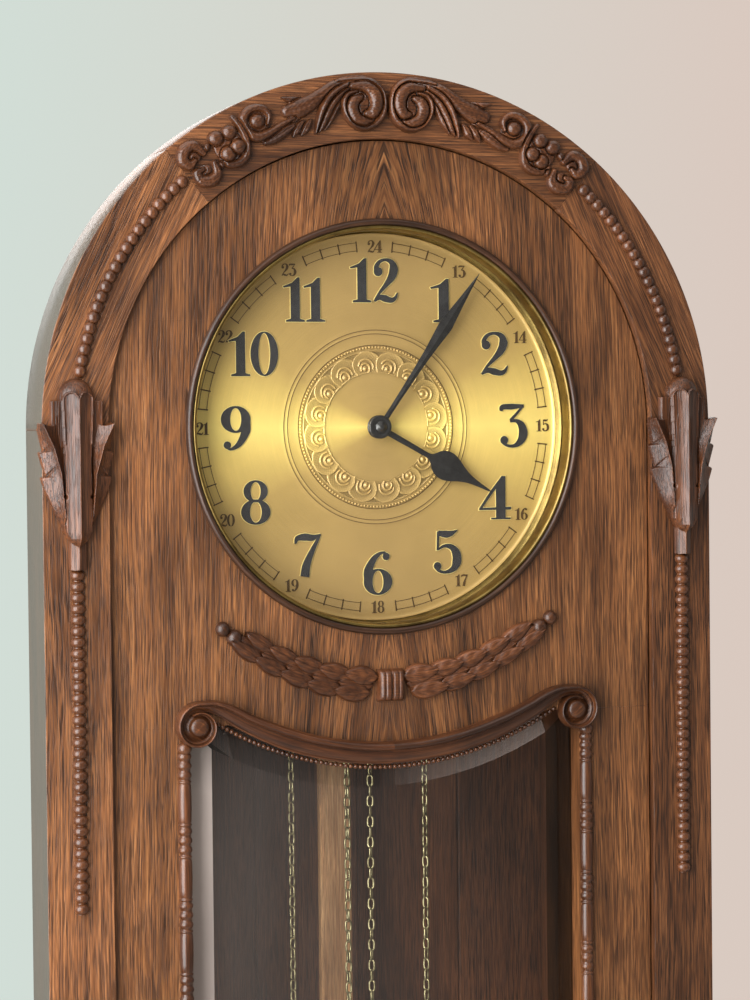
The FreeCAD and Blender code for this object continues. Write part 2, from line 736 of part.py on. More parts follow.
def bead_strings():
    radius = number("bead_radius")
    pitch = number("bead_pitch")
    centre = number("dial_height")
    face = number("frame_face")
    reach = number("string_radius")
    count = int(number("string_length") / pitch + 0.5)
    gap = number("bead_gap")
    top = centre - number("string_top_drop") - gap
    low = top - count * pitch
    neck = radius * STRING_NECK
    edges = [bulge(low + index * pitch, low + (index + 1) * pitch, neck, radius) for index in range(count)]
    strings = [half_turned(closed_profile(edges, low, top), side * reach, face) for side in (-1, 1)]
    start = math.asin((number("corbel_rise") + radius + gap) / reach)
    step = pitch / reach
    room = math.radians(90 - number("crest_half_angle")) - (radius + gap) / reach - start
    for side in (-1, 1):
        beads = []
        for index in range(int(room / step) + 1):
            angle = start + index * step
            place = V(side * reach * math.cos(angle), face, centre + reach * math.sin(angle))
            beads.append(Part.makeSphere(radius, place, V(0, 0, 1), -90, 90, 360))
        string = beads[0].fuse(beads[1:])
        wide = number("frame_width")
        front = Part.makeBox(2 * wide, wide, 2 * centre, V(-wide, face - wide, 0))
        strings.append(string.common(front))
    node("bead_strings", solid("BeadStrings", Part.makeCompound(strings)))


def leaf_corbels():
    """Leaf carvings: a stepped head, two splayed leaves and a stem, with a raised middle leaf."""
    width = number("corbel_width")
    rise = number("corbel_rise")
    drop = number("string_top_drop")
    proud = number("corbel_proud")
    face = number("frame_face")
    centre = number("dial_height")

    def half_outline(head, tail):
        upper = [(share * width, height * rise) for share, height in head]
        return upper + [(share * width, -height * drop) for share, height in tail]

    half = half_outline(CORBEL_HEAD, CORBEL_TAIL)
    ridge = half_outline(CORBEL_RIDGE_HEAD, CORBEL_RIDGE_TAIL)
    corbels = []
    for side in (-1, 1):
        middle = side * number("string_radius")
        outline = [(middle + x, centre + z) for x, z in half]
        outline += [(middle - x, centre + z) for x, z in reversed(half)]
        leaf = prism(outline, face - CORBEL_LEAF_SHARE * proud, face)
        spine = [(middle + x, centre + z) for x, z in ridge]
        spine += [(middle - x, centre + z) for x, z in reversed(ridge)]
        corbels.append(leaf.fuse(prism(spine, face - proud, face)).removeSplitter())
    node("leaf_corbels", solid("LeafCorbels", Part.makeCompound(corbels)))


def crest_carving():
    """Relief on the crown: a ground band with a pair of large scrolls, curls and flower heads."""
    inner = "opening_half + crest_margin"
    outer = "frame_half - crest_margin"
    front = "frame_face - crest_proud"
    start = 90 - number("crest_half_angle")
    items = [ring_sector("CrestGround", inner, outer, "frame_face - crest_ground", "frame_face",
                         "2 * crest_half_angle", start)]
    middle = "((%s) + (%s)) / 2" % (inner, outer)
    half_band = "((%s) - (%s)) / 2" % (outer, inner)
    for index, (share, size) in enumerate(CREST_SCROLLS):
        for tag, side in (("Left", "-"), ("Right", "")):
            turn = "(%s * crest_half_angle * 1 deg)" % share
            name = "CrestScroll%s%d" % (tag, index)
            items.append(disc(name, "%s * %s" % (size, half_band), front, "frame_face",
                              x="%s%s * sin%s" % (side, middle, turn),
                              z="dial_height + %s * cos%s" % (middle, turn)))
    node("crest_carving", fuse("CrestCarving", items))


def laurel_swag():
    face = "door_face"
    proud = "door_face - swag_proud"
    half = number("swag_half_angle")
    band = ring_sector("SwagBand", "swag_radius - swag_width / 2", "swag_radius + swag_width / 2",
                       proud, face, "2 * swag_half_angle", 270 - half)
    tie_half = "(swag_width / 2 + swag_tie_lap)"
    tie_front = proud + " - swag_tie_proud"
    tie = box("SwagTie", ("-swag_tie_width / 2", tie_front, "dial_height - swag_radius - " + tie_half),
              ("swag_tie_width / 2", face, "dial_height - swag_radius + " + tie_half))
    items = [band, tie]
    for side in ("-", ""):
        for tag, step, share in SWAG_BALLS:
            angle = "(swag_half_angle + %s * swag_ball_radius / swag_radius * 180 / pi)" % step
            x = "%sswag_radius * sin(%s * 1 deg)" % (side, angle)
            z = "dial_height - swag_radius * cos(%s * 1 deg)" % angle
            name = "SwagBall%s%s" % ("Left" if side else "Right", tag)
            whole = ball(name, "%s * swag_ball_radius" % share, x, face, z)
            room = box(name + "Front", ("-frame_half", proud, "apron_bottom"),
                       ("frame_half", face, "dial_height"))
            items.append(common(name + "Half", whole, room))
    node("laurel_swag", fuse("LaurelSwag", items))


def scroll_moulding():
    front = "door_face - scroll_proud"
    half = number("scroll_half_angle")
    band = ring_sector("ScrollBand", "scroll_radius - scroll_width / 2", "scroll_radius + scroll_width / 2",
                       front, "door_face", "2 * scroll_half_angle", 270 - half)
    items = [band]
    for name, x in (("VoluteLeft", "-volute_spread"), ("VoluteRight", "volute_spread")):
        items.append(disc(name, "volute_radius", front, "door_face", x=x, z="dial_height - volute_drop"))
    node("scroll_moulding", fuse("ScrollMoulding", items))


def bead_columns():
    """Split turnings down both sides of the glass: barrels with small beads between them."""
    radius = number("column_radius")
    small = number("column_bead_radius")
    bead = number("column_bead_length")
    top = number("dial_height - volute_drop - volute_radius")
    low = number("pane_bottom")
    count = int((top - low) / number("column_period") + 0.5)
    period = (top - low) / count
    neck = small * COLUMN_NECK
    edges = []
    for index in range(count):
        foot = low + index * period
        barrel_top = foot + period - COLUMN_BEADS * bead
        edges.append(bulge(foot, barrel_top, neck, radius))
        for step in range(COLUMN_BEADS):
            edges.append(bulge(barrel_top + step * bead, barrel_top + (step + 1) * bead, neck, small))
    profile = closed_profile(edges, low, top)
    face = number("door_face")
    spread = number("column_spread")
    columns = [half_turned(profile, side * spread, face) for side in (-1, 1)]
    node("bead_columns", solid("BeadColumns", Part.makeCompound(columns)))


# Toothed wheels: epicycloid wheel teeth that run on radial pinion leaves
def polar(radius, angle, x, z):
    return (x + radius * math.cos(angle), z + radius * math.sin(angle))


def wheel_outline(teeth, leaves, module, x, z, heading):
    pitch = module * teeth / 2
    rolling = module * leaves / 4
    half = TOOTH_SHARE * math.pi / teeth
    side = [(pitch - TOOTH_ROOT * module, half)]
    for height in TOOTH_HEIGHTS:
        reach = pitch + height * module
        share = ((pitch + rolling) ** 2 + rolling ** 2 - reach ** 2) / (2 * rolling * (pitch + rolling))
        turn = rolling / pitch * math.acos(max(-1, min(1, share)))
        across = (pitch + rolling) * math.sin(turn) - rolling * math.sin((pitch + rolling) / rolling * turn)
        along = (pitch + rolling) * math.cos(turn) - rolling * math.cos((pitch + rolling) / rolling * turn)
        side.append((reach, half - math.atan2(across, along)))
    outline = []
    for tooth in range(teeth):
        middle = heading + 2 * math.pi * tooth / teeth
        outline += [polar(reach, middle - angle, x, z) for reach, angle in side]
        outline += [polar(reach, middle + angle, x, z) for reach, angle in reversed(side)]
    return outline


def pinion_outline(leaves, module, x, z, heading):
    pitch = module * leaves / 2
    half = LEAF_SHARE * math.pi / leaves
    side = [(pitch - LEAF_ROOT * module, half), (pitch, half)]
    side.append((pitch + LEAF_TIP * module, LEAF_TIP_SHARE * half))
    outline = []
    for leaf in range(leaves):
        middle = heading + math.pi / leaves + 2 * math.pi * leaf / leaves
        outline += [polar(reach, middle - angle, x, z) for reach, angle in side]
        outline += [polar(reach, middle + angle, x, z) for reach, angle in reversed(side)]
    return outline


def slab(outline, middle, thickness):
    return prism(outline, middle - thickness / 2, middle + thickness / 2)


# Movement: two plates with pillars, and the board that it sits on
def arbor_places():
    """Where each arbor crosses the plates, with its radius."""
    return [("Centre", "0", "dial_height", "centre_arbor_radius"),
            ("GreatLeft", "-great_spread", "great_z", "great_arbor_radius"),
            ("GreatRight", "great_spread", "great_z", "great_arbor_radius"),
            ("Third", "third_x", "third_z", "arbor_radius"),
            ("Escape", "0", "escape_z", "arbor_radius"),
            ("Anchor", "0", "anchor_z", "arbor_radius")]


def pivot_holes(name, front, back):
    return [disc(name + tag, radius + " + running_clearance", front, back, x=x, z=z)
            for tag, x, z, radius in arbor_places()]


def movement_plates():
    half = "plate_width / 2"
    plain = box("FrontPlatePlain", ("-" + half, "plate_front", "seat_top"), (half, "plate_inside", "plate_top"))
    stud_x = "motion_distance * cos(%s * 1 rad)" % MINUTE_HEADING
    stud_z = "dial_height + motion_distance * sin(%s * 1 rad)" % MINUTE_HEADING
    stud = disc("MinuteStud", "arbor_radius", "hour_y - pinion_length / 2", "plate_front", x=stud_x, z=stud_z)
    whole = fuse("FrontPlateWhole", [plain, stud])
    node("front_plate", cut("FrontPlate", whole, pivot_holes("FrontPivot", "plate_front", "plate_inside")))
    items = [box("BackPlatePlain", ("-" + half, "back_plate_inside", "seat_top"),
                 (half, "back_plate_back", "plate_top"))]
    for side in ("-", ""):
        x = "%s(%s - pillar_margin)" % (side, half)
        for tag, z in (("Low", "seat_top + pillar_margin"), ("High", "plate_top - pillar_margin")):
            name = "Pillar%s%s" % ("Left" if side else "Right", tag)
            items.append(disc(name, "pillar_radius", "plate_inside", "back_plate_inside", x=x, z=z))
    items.append(box("Cock", ("-cock_width / 2", "back_plate_inside", "cock_under"),
                     ("cock_width / 2", "rod_back", "cock_under + cock_height")))
    holes = pivot_holes("BackPivot", "back_plate_inside", "back_plate_back")
    holes.append(disc("HammerPivot", "arbor_radius + running_clearance", "back_plate_inside", "back_plate_back",
                      x="hammer_x", z="hammer_z"))
    node("back_plate", cut("BackPlate", fuse("BackPlateWhole", items), holes))


def seat_board():
    plain = box("SeatPlain", ("-inner_half", "plate_front - seat_front_margin", "seat_under"),
                ("inner_half", "back_plate_back + seat_back_margin", "seat_top"))
    slots = []
    for tag, x in (("A", "-weight_x"), ("B", "-ring_x"), ("C", "ring_x"), ("D", "weight_x")):
        slots.append(upright("ChainSlot" + tag, "chain_slot_radius", "seat_under", "seat_top", x, "chain_y"))
    node("seat_board", cut("SeatBoard", plain, slots))


# Dial: a flat brass disc with a flared rim, on four feet that stand on the front plate
def dial_plate():
    wall = "dial_thickness"
    pan = turned("DialPan", [("0", "0"), ("dial_radius + " + wall, "0"),
                             ("dial_radius + dial_rim_flare + " + wall, wall + " + dial_rim_height"),
                             ("dial_radius + dial_rim_flare", wall + " + dial_rim_height"),
                             ("dial_radius", wall), ("0", wall)])
    pan.Placement = FreeCAD.Placement(V(), FreeCAD.Rotation(V(1, 0, 0), 90))
    move(pan, 0, "dial_back", "dial_height")
    items = [pan]
    for tag, side in (("Left", "-"), ("Right", "")):
        x = "%s(plate_width / 2 - pillar_margin)" % side
        for level, z in (("Low", "seat_top + 2 * pillar_margin"), ("High", "plate_top - 2 * pillar_margin")):
            items.append(disc("DialFoot" + tag + level, "arbor_radius", "dial_back", "plate_front", x=x, z=z))
    hole = disc("DialCentre", "pipe_radius + motion_gap", "dial_face", "dial_back")
    node("dial_plate", cut("DialPlate", fuse("DialWhole", items), [hole]))


# Hands and motion work
def hand(name, back, reach, angle, bore, profile):
    """A flat hand: its half widths are listed along its reach, and it turns clockwise from twelve."""
    front = back - number("hand_thickness")
    outline = [(half, share * reach) for share, half in profile]
    outline += [(-half, share * reach) for share, half in reversed(profile)]
    shape = prism(outline, front, back)
    hub = rod(number("hand_hub_radius"), front, back, 0, 0)
    shape = shape.fuse(hub).cut(rod(bore, front, back, 0, 0)).removeSplitter()
    shape.rotate(V(0, 0, 0), V(0, 1, 0), angle)
    shape.translate(V(0, 0, number("dial_height")))
    return solid(name, shape)


def hands():
    slack = number("running_clearance")
    bore = number("pipe_radius") + slack
    node("hour_hand", hand("HourHand", number("hour_hand_back"), number("hour_hand_reach"),
                           number("hour_hand_angle"), bore, SPADE_HAND))
    bore = number("cannon_radius") + slack
    node("minute_hand", hand("MinuteHand", number("minute_hand_back"), number("minute_hand_reach"),
                             number("minute_hand_angle"), bore, LEAF_HAND))


def motion_work():
    slack = number("running_clearance")
    centre = number("dial_height")
    module = number("motion_module")
    hour_module = number("hour_module")
    length = number("pinion_length")
    thick = number("wheel_thickness")
    motion_y = number("motion_y")
    hour_y = number("hour_y")
    cannon_back = motion_y + length / 2
    cannon_front = number("minute_hand_back - hand_thickness")
    leaves = slab(pinion_outline(CANNON_LEAVES, module, 0, centre, MINUTE_HEADING), motion_y, length)
    tube = rod(number("cannon_radius"), cannon_front, cannon_back, 0, centre)
    bore = rod(number("centre_arbor_radius") + slack, cannon_front, cannon_back, 0, centre)
    node("cannon_pinion", solid("CannonPinion", leaves.fuse(tube).cut(bore).removeSplitter()))
    pipe_front = number("hour_hand_back - hand_thickness")
    outline = wheel_outline(HOUR_TEETH, MINUTE_LEAVES, hour_module, 0, centre, MINUTE_HEADING)
    teeth = slab(outline, hour_y, thick)
    pipe = rod(number("pipe_radius"), pipe_front, hour_y + thick / 2, 0, centre)
    bore = rod(number("cannon_radius") + slack, pipe_front, hour_y + thick / 2, 0, centre)
    node("hour_wheel", solid("HourWheel", teeth.fuse(pipe).cut(bore).removeSplitter()))
    x = number("motion_distance") * math.cos(MINUTE_HEADING)
    z = centre + number("motion_distance") * math.sin(MINUTE_HEADING)
    facing = MINUTE_HEADING + math.pi
    teeth = slab(wheel_outline(MINUTE_TEETH, CANNON_LEAVES, module, x, z, facing), motion_y, thick)
    leaves = prism(pinion_outline(MINUTE_LEAVES, hour_module, x, z, facing), hour_y - length / 2, motion_y)
    bore = rod(number("arbor_radius") + slack, hour_y - length, motion_y + thick, x, z)
    node("minute_wheel", solid("MinuteWheel", teeth.fuse(leaves).cut(bore).removeSplitter()))


# Going train: great wheel, centre wheel, third wheel and escape wheel between the plates
def going_train():
    centre = number("dial_height")
    front = number("plate_front")
    back = number("back_plate_back")
    thick = number("wheel_thickness")
    length = number("pinion_length")
    great = (-number("great_spread"), number("great_z"))
    third = (number("third_x"), number("third_z"))
    escape = (0, number("escape_z"))
    to_centre = math.atan2(centre - great[1], -great[0])
    to_third = math.radians(number("third_heading"))
    to_escape = math.atan2(escape[1] - third[1], escape[0] - third[0])
    great_module = number("great_module")
    centre_module = number("centre_module")
    third_module = number("third_module")
    great_y = number("great_y")
    centre_y = number("centre_y")
    third_y = number("third_y")

    teeth = slab(wheel_outline(GREAT_TEETH, TRAIN_LEAVES, great_module, *great, to_centre), great_y, thick)
    arbor = rod(number("great_arbor_radius"), front, back, *great)
    node("great_wheel", solid("GreatWheel", teeth.fuse(arbor)))

    teeth = slab(wheel_outline(CENTRE_TEETH, TRAIN_LEAVES, centre_module, 0, centre, to_third), centre_y, thick)
    leaves = slab(pinion_outline(TRAIN_LEAVES, great_module, 0, centre, to_centre + math.pi), great_y, length)
    nose = number("minute_hand_back - 3 * hand_thickness")
    arbor = rod(number("centre_arbor_radius"), nose, back, 0, centre)
    node("centre_wheel", solid("CentreWheel", teeth.fuse([leaves, arbor])))

    teeth = slab(wheel_outline(THIRD_TEETH, TRAIN_LEAVES, third_module, *third, to_escape), third_y, thick)
    leaves = slab(pinion_outline(TRAIN_LEAVES, centre_module, *third, to_third + math.pi), centre_y, length)
    arbor = rod(number("arbor_radius"), front, back, *third)
    node("third_wheel", solid("ThirdWheel", teeth.fuse([leaves, arbor])))

    tip = number("escape_radius")
    saw = []
    for tooth in range(ESCAPE_TEETH):
        angle = 2 * math.pi * tooth / ESCAPE_TEETH
        step = 2 * math.pi / ESCAPE_TEETH
        saw.append(polar(tip, angle, *escape))
        saw += [polar(ESCAPE_ROOT * tip, angle + share * step, *escape) for share in ESCAPE_GAP]
    teeth = slab(saw, number("escape_y"), thick)
    leaves = slab(pinion_outline(TRAIN_LEAVES, third_module, *escape, to_escape + math.pi), third_y, length)
    arbor = rod(number("arbor_radius"), front, back, *escape)
    node("escape_wheel", solid("EscapeWheel", teeth.fuse([leaves, arbor])))


def anchor():
    """The anchor over the escape wheel, on one arbor with the crutch that guides the pendulum."""
    z = number("anchor_z")
    wheel_z = number("escape_z")
    near = number("escape_radius + anchor_gap") * math.sqrt(0.5)
    far = near + number("crutch_width")
    hub = number("crutch_width")
    outline = [(0, z + hub), (far, wheel_z + far), (near, wheel_z + near), (0, z - hub / 2),
               (-near, wheel_z + near), (-far, wheel_z + far)]
    pallets = slab(outline, number("escape_y"), 2 * number("wheel_thickness"))
    back = number("crutch_back")
    thick = number("crutch_thickness")
    arbor = rod(number("arbor_radius"), number("plate_front"), back, 0, z)
    length = number("crutch_length")
    arm = prism([(-hub / 2, z - length), (hub / 2, z - length), (hub / 2, z + hub), (-hub / 2, z + hub)],
                back - thick, back)
    pin = rod(number("arbor_radius"), back, number("rod_front - rod_clearance"), 0, z - length + hub)
    node("anchor", solid("Anchor", pallets.fuse([arbor, arm, pin]).removeSplitter()))


# Pendulum: a wooden rod hung on a spring, a lens-shaped bob and the nut that carries it
def pendulum():
    half = "rod_width / 2"
    rod_top = "anchor_z - spring_length"
    bob_bottom = "bob_z - bob_radius"
    stick = box("RodStick", ("-" + half, "rod_front", bob_bottom), (half, "rod_back", rod_top))
    leaf = "spring_width / 2"
    thin = "spring_thickness / 2"
    spring = box("RodSpring", ("-" + leaf, "pendulum_y - " + thin, rod_top),
                 (leaf, "pendulum_y + " + thin, "cock_under - suspension_gap"))
    nut_bottom = bob_bottom + " - rating_nut_height"
    nut = upright("RatingNut", "rating_nut_radius", nut_bottom, bob_bottom, 0, "pendulum_y")
    node("pendulum_rod", fuse("PendulumRod", [stick, spring, nut]))
    fall = "bob_thickness / 12"
    lens = turned("BobLens", [("0", "0"), ("bob_radius / 2", fall),
                              ("bob_radius", "bob_thickness / 2 - bob_rim / 2"),
                              ("bob_radius", "bob_thickness / 2 + bob_rim / 2"),
                              ("bob_radius / 2", "bob_thickness - " + fall), ("0", "bob_thickness")])
    lens.Placement = FreeCAD.Placement(V(), FreeCAD.Rotation(V(1, 0, 0), 90))
    move(lens, 0, "pendulum_y + bob_thickness / 2", "bob_z")
    gap = "rod_clearance"
    channel = box("BobChannel", ("-%s - %s" % (half, gap), "rod_front - " + gap, bob_bottom),
                  ("%s + %s" % (half, gap), "rod_back + " + gap, "bob_z + bob_radius"))
    node("pendulum_bob", cut("PendulumBob", lens, [channel]))


# Winding: a chain over a sprocket on each side, with a weight outside and a pull ring inside
def sprocket(name, x):
    bottom = "sprocket_radius - chain_radius - chain_gap"
    edge = "sprocket_radius + chain_radius"
    front = "chain_y - sprocket_width / 2"
    back = "chain_y + sprocket_width / 2"
    hub = disc(name + "Hub", bottom, front, back, x=x, z="great_z")
    first = disc(name + "Front", edge, front, "chain_y - sprocket_groove / 2", x=x, z="great_z")
    second = disc(name + "Back", edge, "chain_y + sprocket_groove / 2", back, x=x, z="great_z")
    return fuse(name, [hub, first, second])


def winding():
    left = sprocket("SprocketLeftWhole", "-great_spread")
    bore = disc("SprocketBore", "great_arbor_radius + running_clearance", "chain_y - sprocket_width",
                "chain_y + sprocket_width", x="-great_spread", z="great_z")
    node("sprocket_left", cut("SprocketLeft", left, [bore]))
    right = sprocket("SprocketRight", "great_spread")
    thick = "wheel_thickness / 2"
    items = [right]
    items.append(disc("StrikeDisc", "strike_wheel_radius", "strike_y - " + thick, "strike_y + " + thick,
                      x="great_spread", z="great_z"))
    items.append(disc("StrikeArbor", "great_arbor_radius", "plate_front", "back_plate_back",
                      x="great_spread", z="great_z"))
    for index in range(int(number("lifting_pin_count"))):
        turn = "(360 * %d / lifting_pin_count)" % index
        reach = "(strike_wheel_radius - 3 * lifting_pin_radius)"
        x = "great_spread + %s * cos(%s * 1 deg)" % (reach, turn)
        z = "great_z + %s * sin(%s * 1 deg)" % (reach, turn)
        pin_back = "strike_y + lifting_pin_length"
        items.append(disc("LiftingPin%d" % index, "lifting_pin_radius", "strike_y", pin_back, x=x, z=z))
    node("strike_wheel", fuse("StrikeWheel", items))
    for label, side in (("left", "-"), ("right", "")):
        name = label.capitalize()
        foot = "weight_top - weight_length - hook_length"
        neck = "chain_radius + ring_wire"
        hook_top = "weight_length + hook_length"
        weight = turned("Weight" + name, [("0", "0"), ("weight_radius", "0"),
                                          ("weight_radius", "weight_length"),
                                          (neck, "weight_length + hook_length / 3"), (neck, hook_top),
                                          ("0", hook_top)])
        node("weight_" + label, move(weight, side + "weight_x", "chain_y", foot))
        node("weight_chain_" + label, upright("WeightChain" + name, "chain_radius", "weight_top", "great_z",
                                              side + "weight_x", "chain_y"))
        node("ring_chain_" + label, upright("RingChain" + name, "chain_radius", "ring_top", "great_z",
                                            side + "ring_x", "chain_y"))
        ring = doc.addObject("Part::Torus", "Ring" + name)
        ring.setExpression("Radius1", bound("ring_radius"))
        ring.setExpression("Radius2", bound("ring_wire"))
        ring.Placement = FreeCAD.Placement(V(), FreeCAD.Rotation(V(0, 1, 0), 90))
        middle = "ring_top - ring_radius - ring_wire - chain_gap"
        node("pull_ring_" + label, move(ring, side + "ring_x", "chain_y", middle))


# Strike: a hammer on the back plate and a rod gong on the right side of the case
def strike():
    reach = "hammer_x + hammer_reach"
    half = "hammer_head_radius / 2"
    front = "hammer_y - " + half
    back = "hammer_y + " + half
    arbor = disc("HammerArbor", "arbor_radius", "back_plate_inside", back, x="hammer_x", z="hammer_z")
    across = box("HammerAcross", ("hammer_x - " + half, front, "hammer_z - " + half),
                 (reach + " + " + half, back, "hammer_z + " + half))
    down = box("HammerDown", (reach + " - " + half, front, "hammer_tip_z"),
               (reach + " + " + half, back, "hammer_z + " + half))
    head = disc("HammerHead", "hammer_head_radius", "hammer_y - hammer_head_radius",
                "hammer_y + hammer_head_radius", x=reach, z="hammer_tip_z")
    node("hammer", fuse("Hammer", [arbor, across, down, head]))
    depth = "gong_block_depth / 2"
    items = [box("GongBlock", ("gong_x - gong_rod_pitch / 2", "hammer_y - " + depth, "gong_under"),
                 ("inner_half", "hammer_y + " + depth, "gong_under + gong_block_height"))]
    for index in range(int(number("gong_rod_count"))):
        items.append(upright("GongRod%d" % index, "gong_rod_radius", "gong_under - gong_rod_length",
                             "gong_under", "gong_x + %d * gong_rod_pitch" % index, "hammer_y"))
    node("gong", fuse("Gong", items))


plinth()
front_frame()
carcass()
door_frame()
door_glass()
hinges()
lock()
bead_strings()
leaf_corbels()
crest_carving()
laurel_swag()
scroll_moulding()
bead_columns()
movement_plates()
seat_board()
dial_plate()
hands()
motion_work()
going_train()
anchor()
pendulum()
winding()
strike()
doc.recompute()

# Every object has to be sound before any file is written
for item in doc.Objects:
    if "Invalid" in item.State or "Error" in item.State:
        raise RuntimeError("%s is %s" % (item.Label, item.State))
for item in nodes:
    if item.Shape.isNull() or not item.Shape.isValid():
        raise RuntimeError("the shape of %s is not sound" % item.Label)
os.makedirs("parts", exist_ok=True)
for item in nodes:
    item.Shape.exportStep("parts/%s.step" % item.Label)
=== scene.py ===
import math

import bpy
import numpy as np
from mathutils import Matrix, Vector


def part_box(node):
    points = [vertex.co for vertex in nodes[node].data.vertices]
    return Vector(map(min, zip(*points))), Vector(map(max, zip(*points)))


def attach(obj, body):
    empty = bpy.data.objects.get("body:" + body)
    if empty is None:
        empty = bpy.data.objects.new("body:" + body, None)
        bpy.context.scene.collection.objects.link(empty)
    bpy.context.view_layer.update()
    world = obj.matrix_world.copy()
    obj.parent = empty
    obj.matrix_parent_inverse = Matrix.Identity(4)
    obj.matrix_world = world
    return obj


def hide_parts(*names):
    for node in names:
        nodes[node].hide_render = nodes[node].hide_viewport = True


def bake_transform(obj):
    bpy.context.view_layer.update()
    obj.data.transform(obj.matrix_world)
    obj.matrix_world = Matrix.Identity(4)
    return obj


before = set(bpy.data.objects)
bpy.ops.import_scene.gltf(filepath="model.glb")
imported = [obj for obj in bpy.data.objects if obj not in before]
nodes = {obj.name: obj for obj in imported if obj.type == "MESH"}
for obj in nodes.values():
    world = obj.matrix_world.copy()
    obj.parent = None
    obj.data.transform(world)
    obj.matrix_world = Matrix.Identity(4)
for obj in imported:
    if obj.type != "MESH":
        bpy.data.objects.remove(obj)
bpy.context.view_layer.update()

# Planes and places of the part, in metres but for BAND_MM, from the frame
MM = 0.001
TURN = 2 * math.pi
SIDES = (-1, 1)
DIAL_Z = 1.7
DIAL_RIM = 6 * MM
WALL_SCREW_Z = 1.5
FRAME_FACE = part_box("stile_right")[0].y
BAND_RADIUS = (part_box("stile_right")[0].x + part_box("stile_right")[1].x) / 2
BAND_MM = BAND_RADIUS / MM
DOOR_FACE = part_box("door_stile_right")[0].y
DIAL_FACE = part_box("dial_plate")[0].y + DIAL_RIM
DIAL_SKIN = DIAL_FACE - 0.12 * MM
rng = np.random.default_rng(11)


# Points
def xyz(x, y, z):
    """Points from coordinates that are single numbers or arrays."""
    return np.stack(np.broadcast_arrays(x, y, z), -1)


def from_dial(x, out, z, face):
    """Points from millimetres beside the dial's centre, out of a face and above the centre."""
    return xyz(np.multiply(x, MM), face - np.multiply(out, MM), DIAL_Z + np.multiply(z, MM))


def box_of(node):
    """The low corner, the high corner and the middle of a CAD piece."""
    low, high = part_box(node)
    return low, high, (low + high) / 2


def circle(steps):
    """Points round a flat circle of radius one."""
    turn = np.arange(steps) * TURN / steps
    return np.stack([np.cos(turn), np.sin(turn)], -1)


def spread(values, count):
    """A short row of values blended to a longer one."""
    values = np.atleast_1d(values)
    return np.interp(np.linspace(0, 1, count), np.linspace(0, 1, len(values)), values)


def smooth_path(points, count):
    """A smooth line through the points, as a Catmull-Rom spline."""
    p = np.array(points, float)
    p = np.vstack([2 * p[0] - p[1], p, 2 * p[-1] - p[-2]])
    place = np.linspace(0, len(p) - 3 - 1e-9, count)
    i = place.astype(int)
    t = (place - i)[:, None]
    a, b, c, d = p[i], p[i + 1], p[i + 2], p[i + 3]
    square = 2 * a - 5 * b + 4 * c - d
    cubic = 3 * b - a - 3 * c + d
    return 0.5 * (2 * b + (c - a) * t + square * t ** 2 + cubic * t ** 3)


def headings(line):
    """Directions of length one along a line."""
    along = np.gradient(line, axis=0)
    return along / np.linalg.norm(along, axis=1)[:, None]


def winding(outline):
    """The way in which an outline turns, as a sign."""
    x, z = outline.T
    return np.sign(np.sum(x * np.roll(z, -1) - np.roll(x, -1) * z))


def grown(outline, margin):
    """An outline moved out by a margin, with mitred corners."""
    outline = np.array(outline, float)
    before = outline - np.roll(outline, 1, 0)
    after = np.roll(outline, -1, 0) - outline
    normals = []
    for step in (before, after):
        step = step / np.maximum(np.linalg.norm(step, axis=1), 1e-9)[:, None]
        normals.append(np.stack([step[:, 1], -step[:, 0]], -1) * winding(outline))
    middle = normals[0] + normals[1]
    length = np.maximum(np.sum(middle * normals[0], 1), 0.5)[:, None]
    return outline + margin * middle / length


# Meshes: each returns points and faces
def grid(points, wrap_rows=False, wrap_columns=False):
    rows, columns = points.shape[:2]
    index = np.arange(rows * columns).reshape(rows, columns)
    if wrap_rows:
        index = np.vstack([index, index[:1]])
    if wrap_columns:
        index = np.hstack([index, index[:, :1]])
    corners = [index[:-1, :-1], index[:-1, 1:], index[1:, 1:], index[1:, :-1]]
    return points.reshape(-1, 3), np.stack(corners, -1).reshape(-1, 4)


def stacked(levels):
    """A skin through outlines in X and Z, each at its own depth."""
    return grid(np.array([np.insert(outline, 1, y, 1) for outline, y in levels]), wrap_columns=True)


def lathe(profile, centre, axis="Z", steps=32, sweep=TURN, start=0.0, unit=MM):
    """Turns a profile of radius and height, in millimetres, about an axis through a point."""
    radius, height = (np.array(profile, float) * unit).T[:, :, None]
    whole = sweep >= TURN
    angles = start + sweep * np.arange(steps if whole else steps + 1) / steps
    across = radius * np.cos(angles)
    up = radius * np.sin(angles)
    points = xyz(across, up, height) if axis == "Z" else xyz(across, height, up)
    return grid(points + np.array(centre), wrap_columns=whole)


def ball(centre, radii, rows=9, columns=14):
    """A ball about a point, with its radii in millimetres and small openings at its poles."""
    pole = 0.02
    tilt = np.linspace(pole, math.pi - pole, rows)[:, None]
    ring = circle(columns)
    points = xyz(np.sin(tilt) * ring[:, 0], np.sin(tilt) * ring[:, 1], np.cos(tilt))
    return grid(points * np.multiply(radii, MM) + np.array(centre), wrap_columns=True)


def tube(path, radius, up, sides=8, closed=False):
    """A round wire along a path. Up is the direction across the path's plane."""
    path = np.array(path, float)
    if closed:
        along = np.roll(path, -1, 0) - np.roll(path, 1, 0)
        along /= np.linalg.norm(along, axis=1)[:, None]
    else:
        along = headings(path)
    side = np.cross(along, np.array(up, float))
    side /= np.linalg.norm(side, axis=1)[:, None]
    over = np.cross(side, along)
    ring = circle(sides)[None, :, :, None]
    wall = side[:, None] * ring[:, :, 0] + over[:, None] * ring[:, :, 1]
    return grid(path[:, None] + radius * wall, wrap_rows=closed, wrap_columns=True)


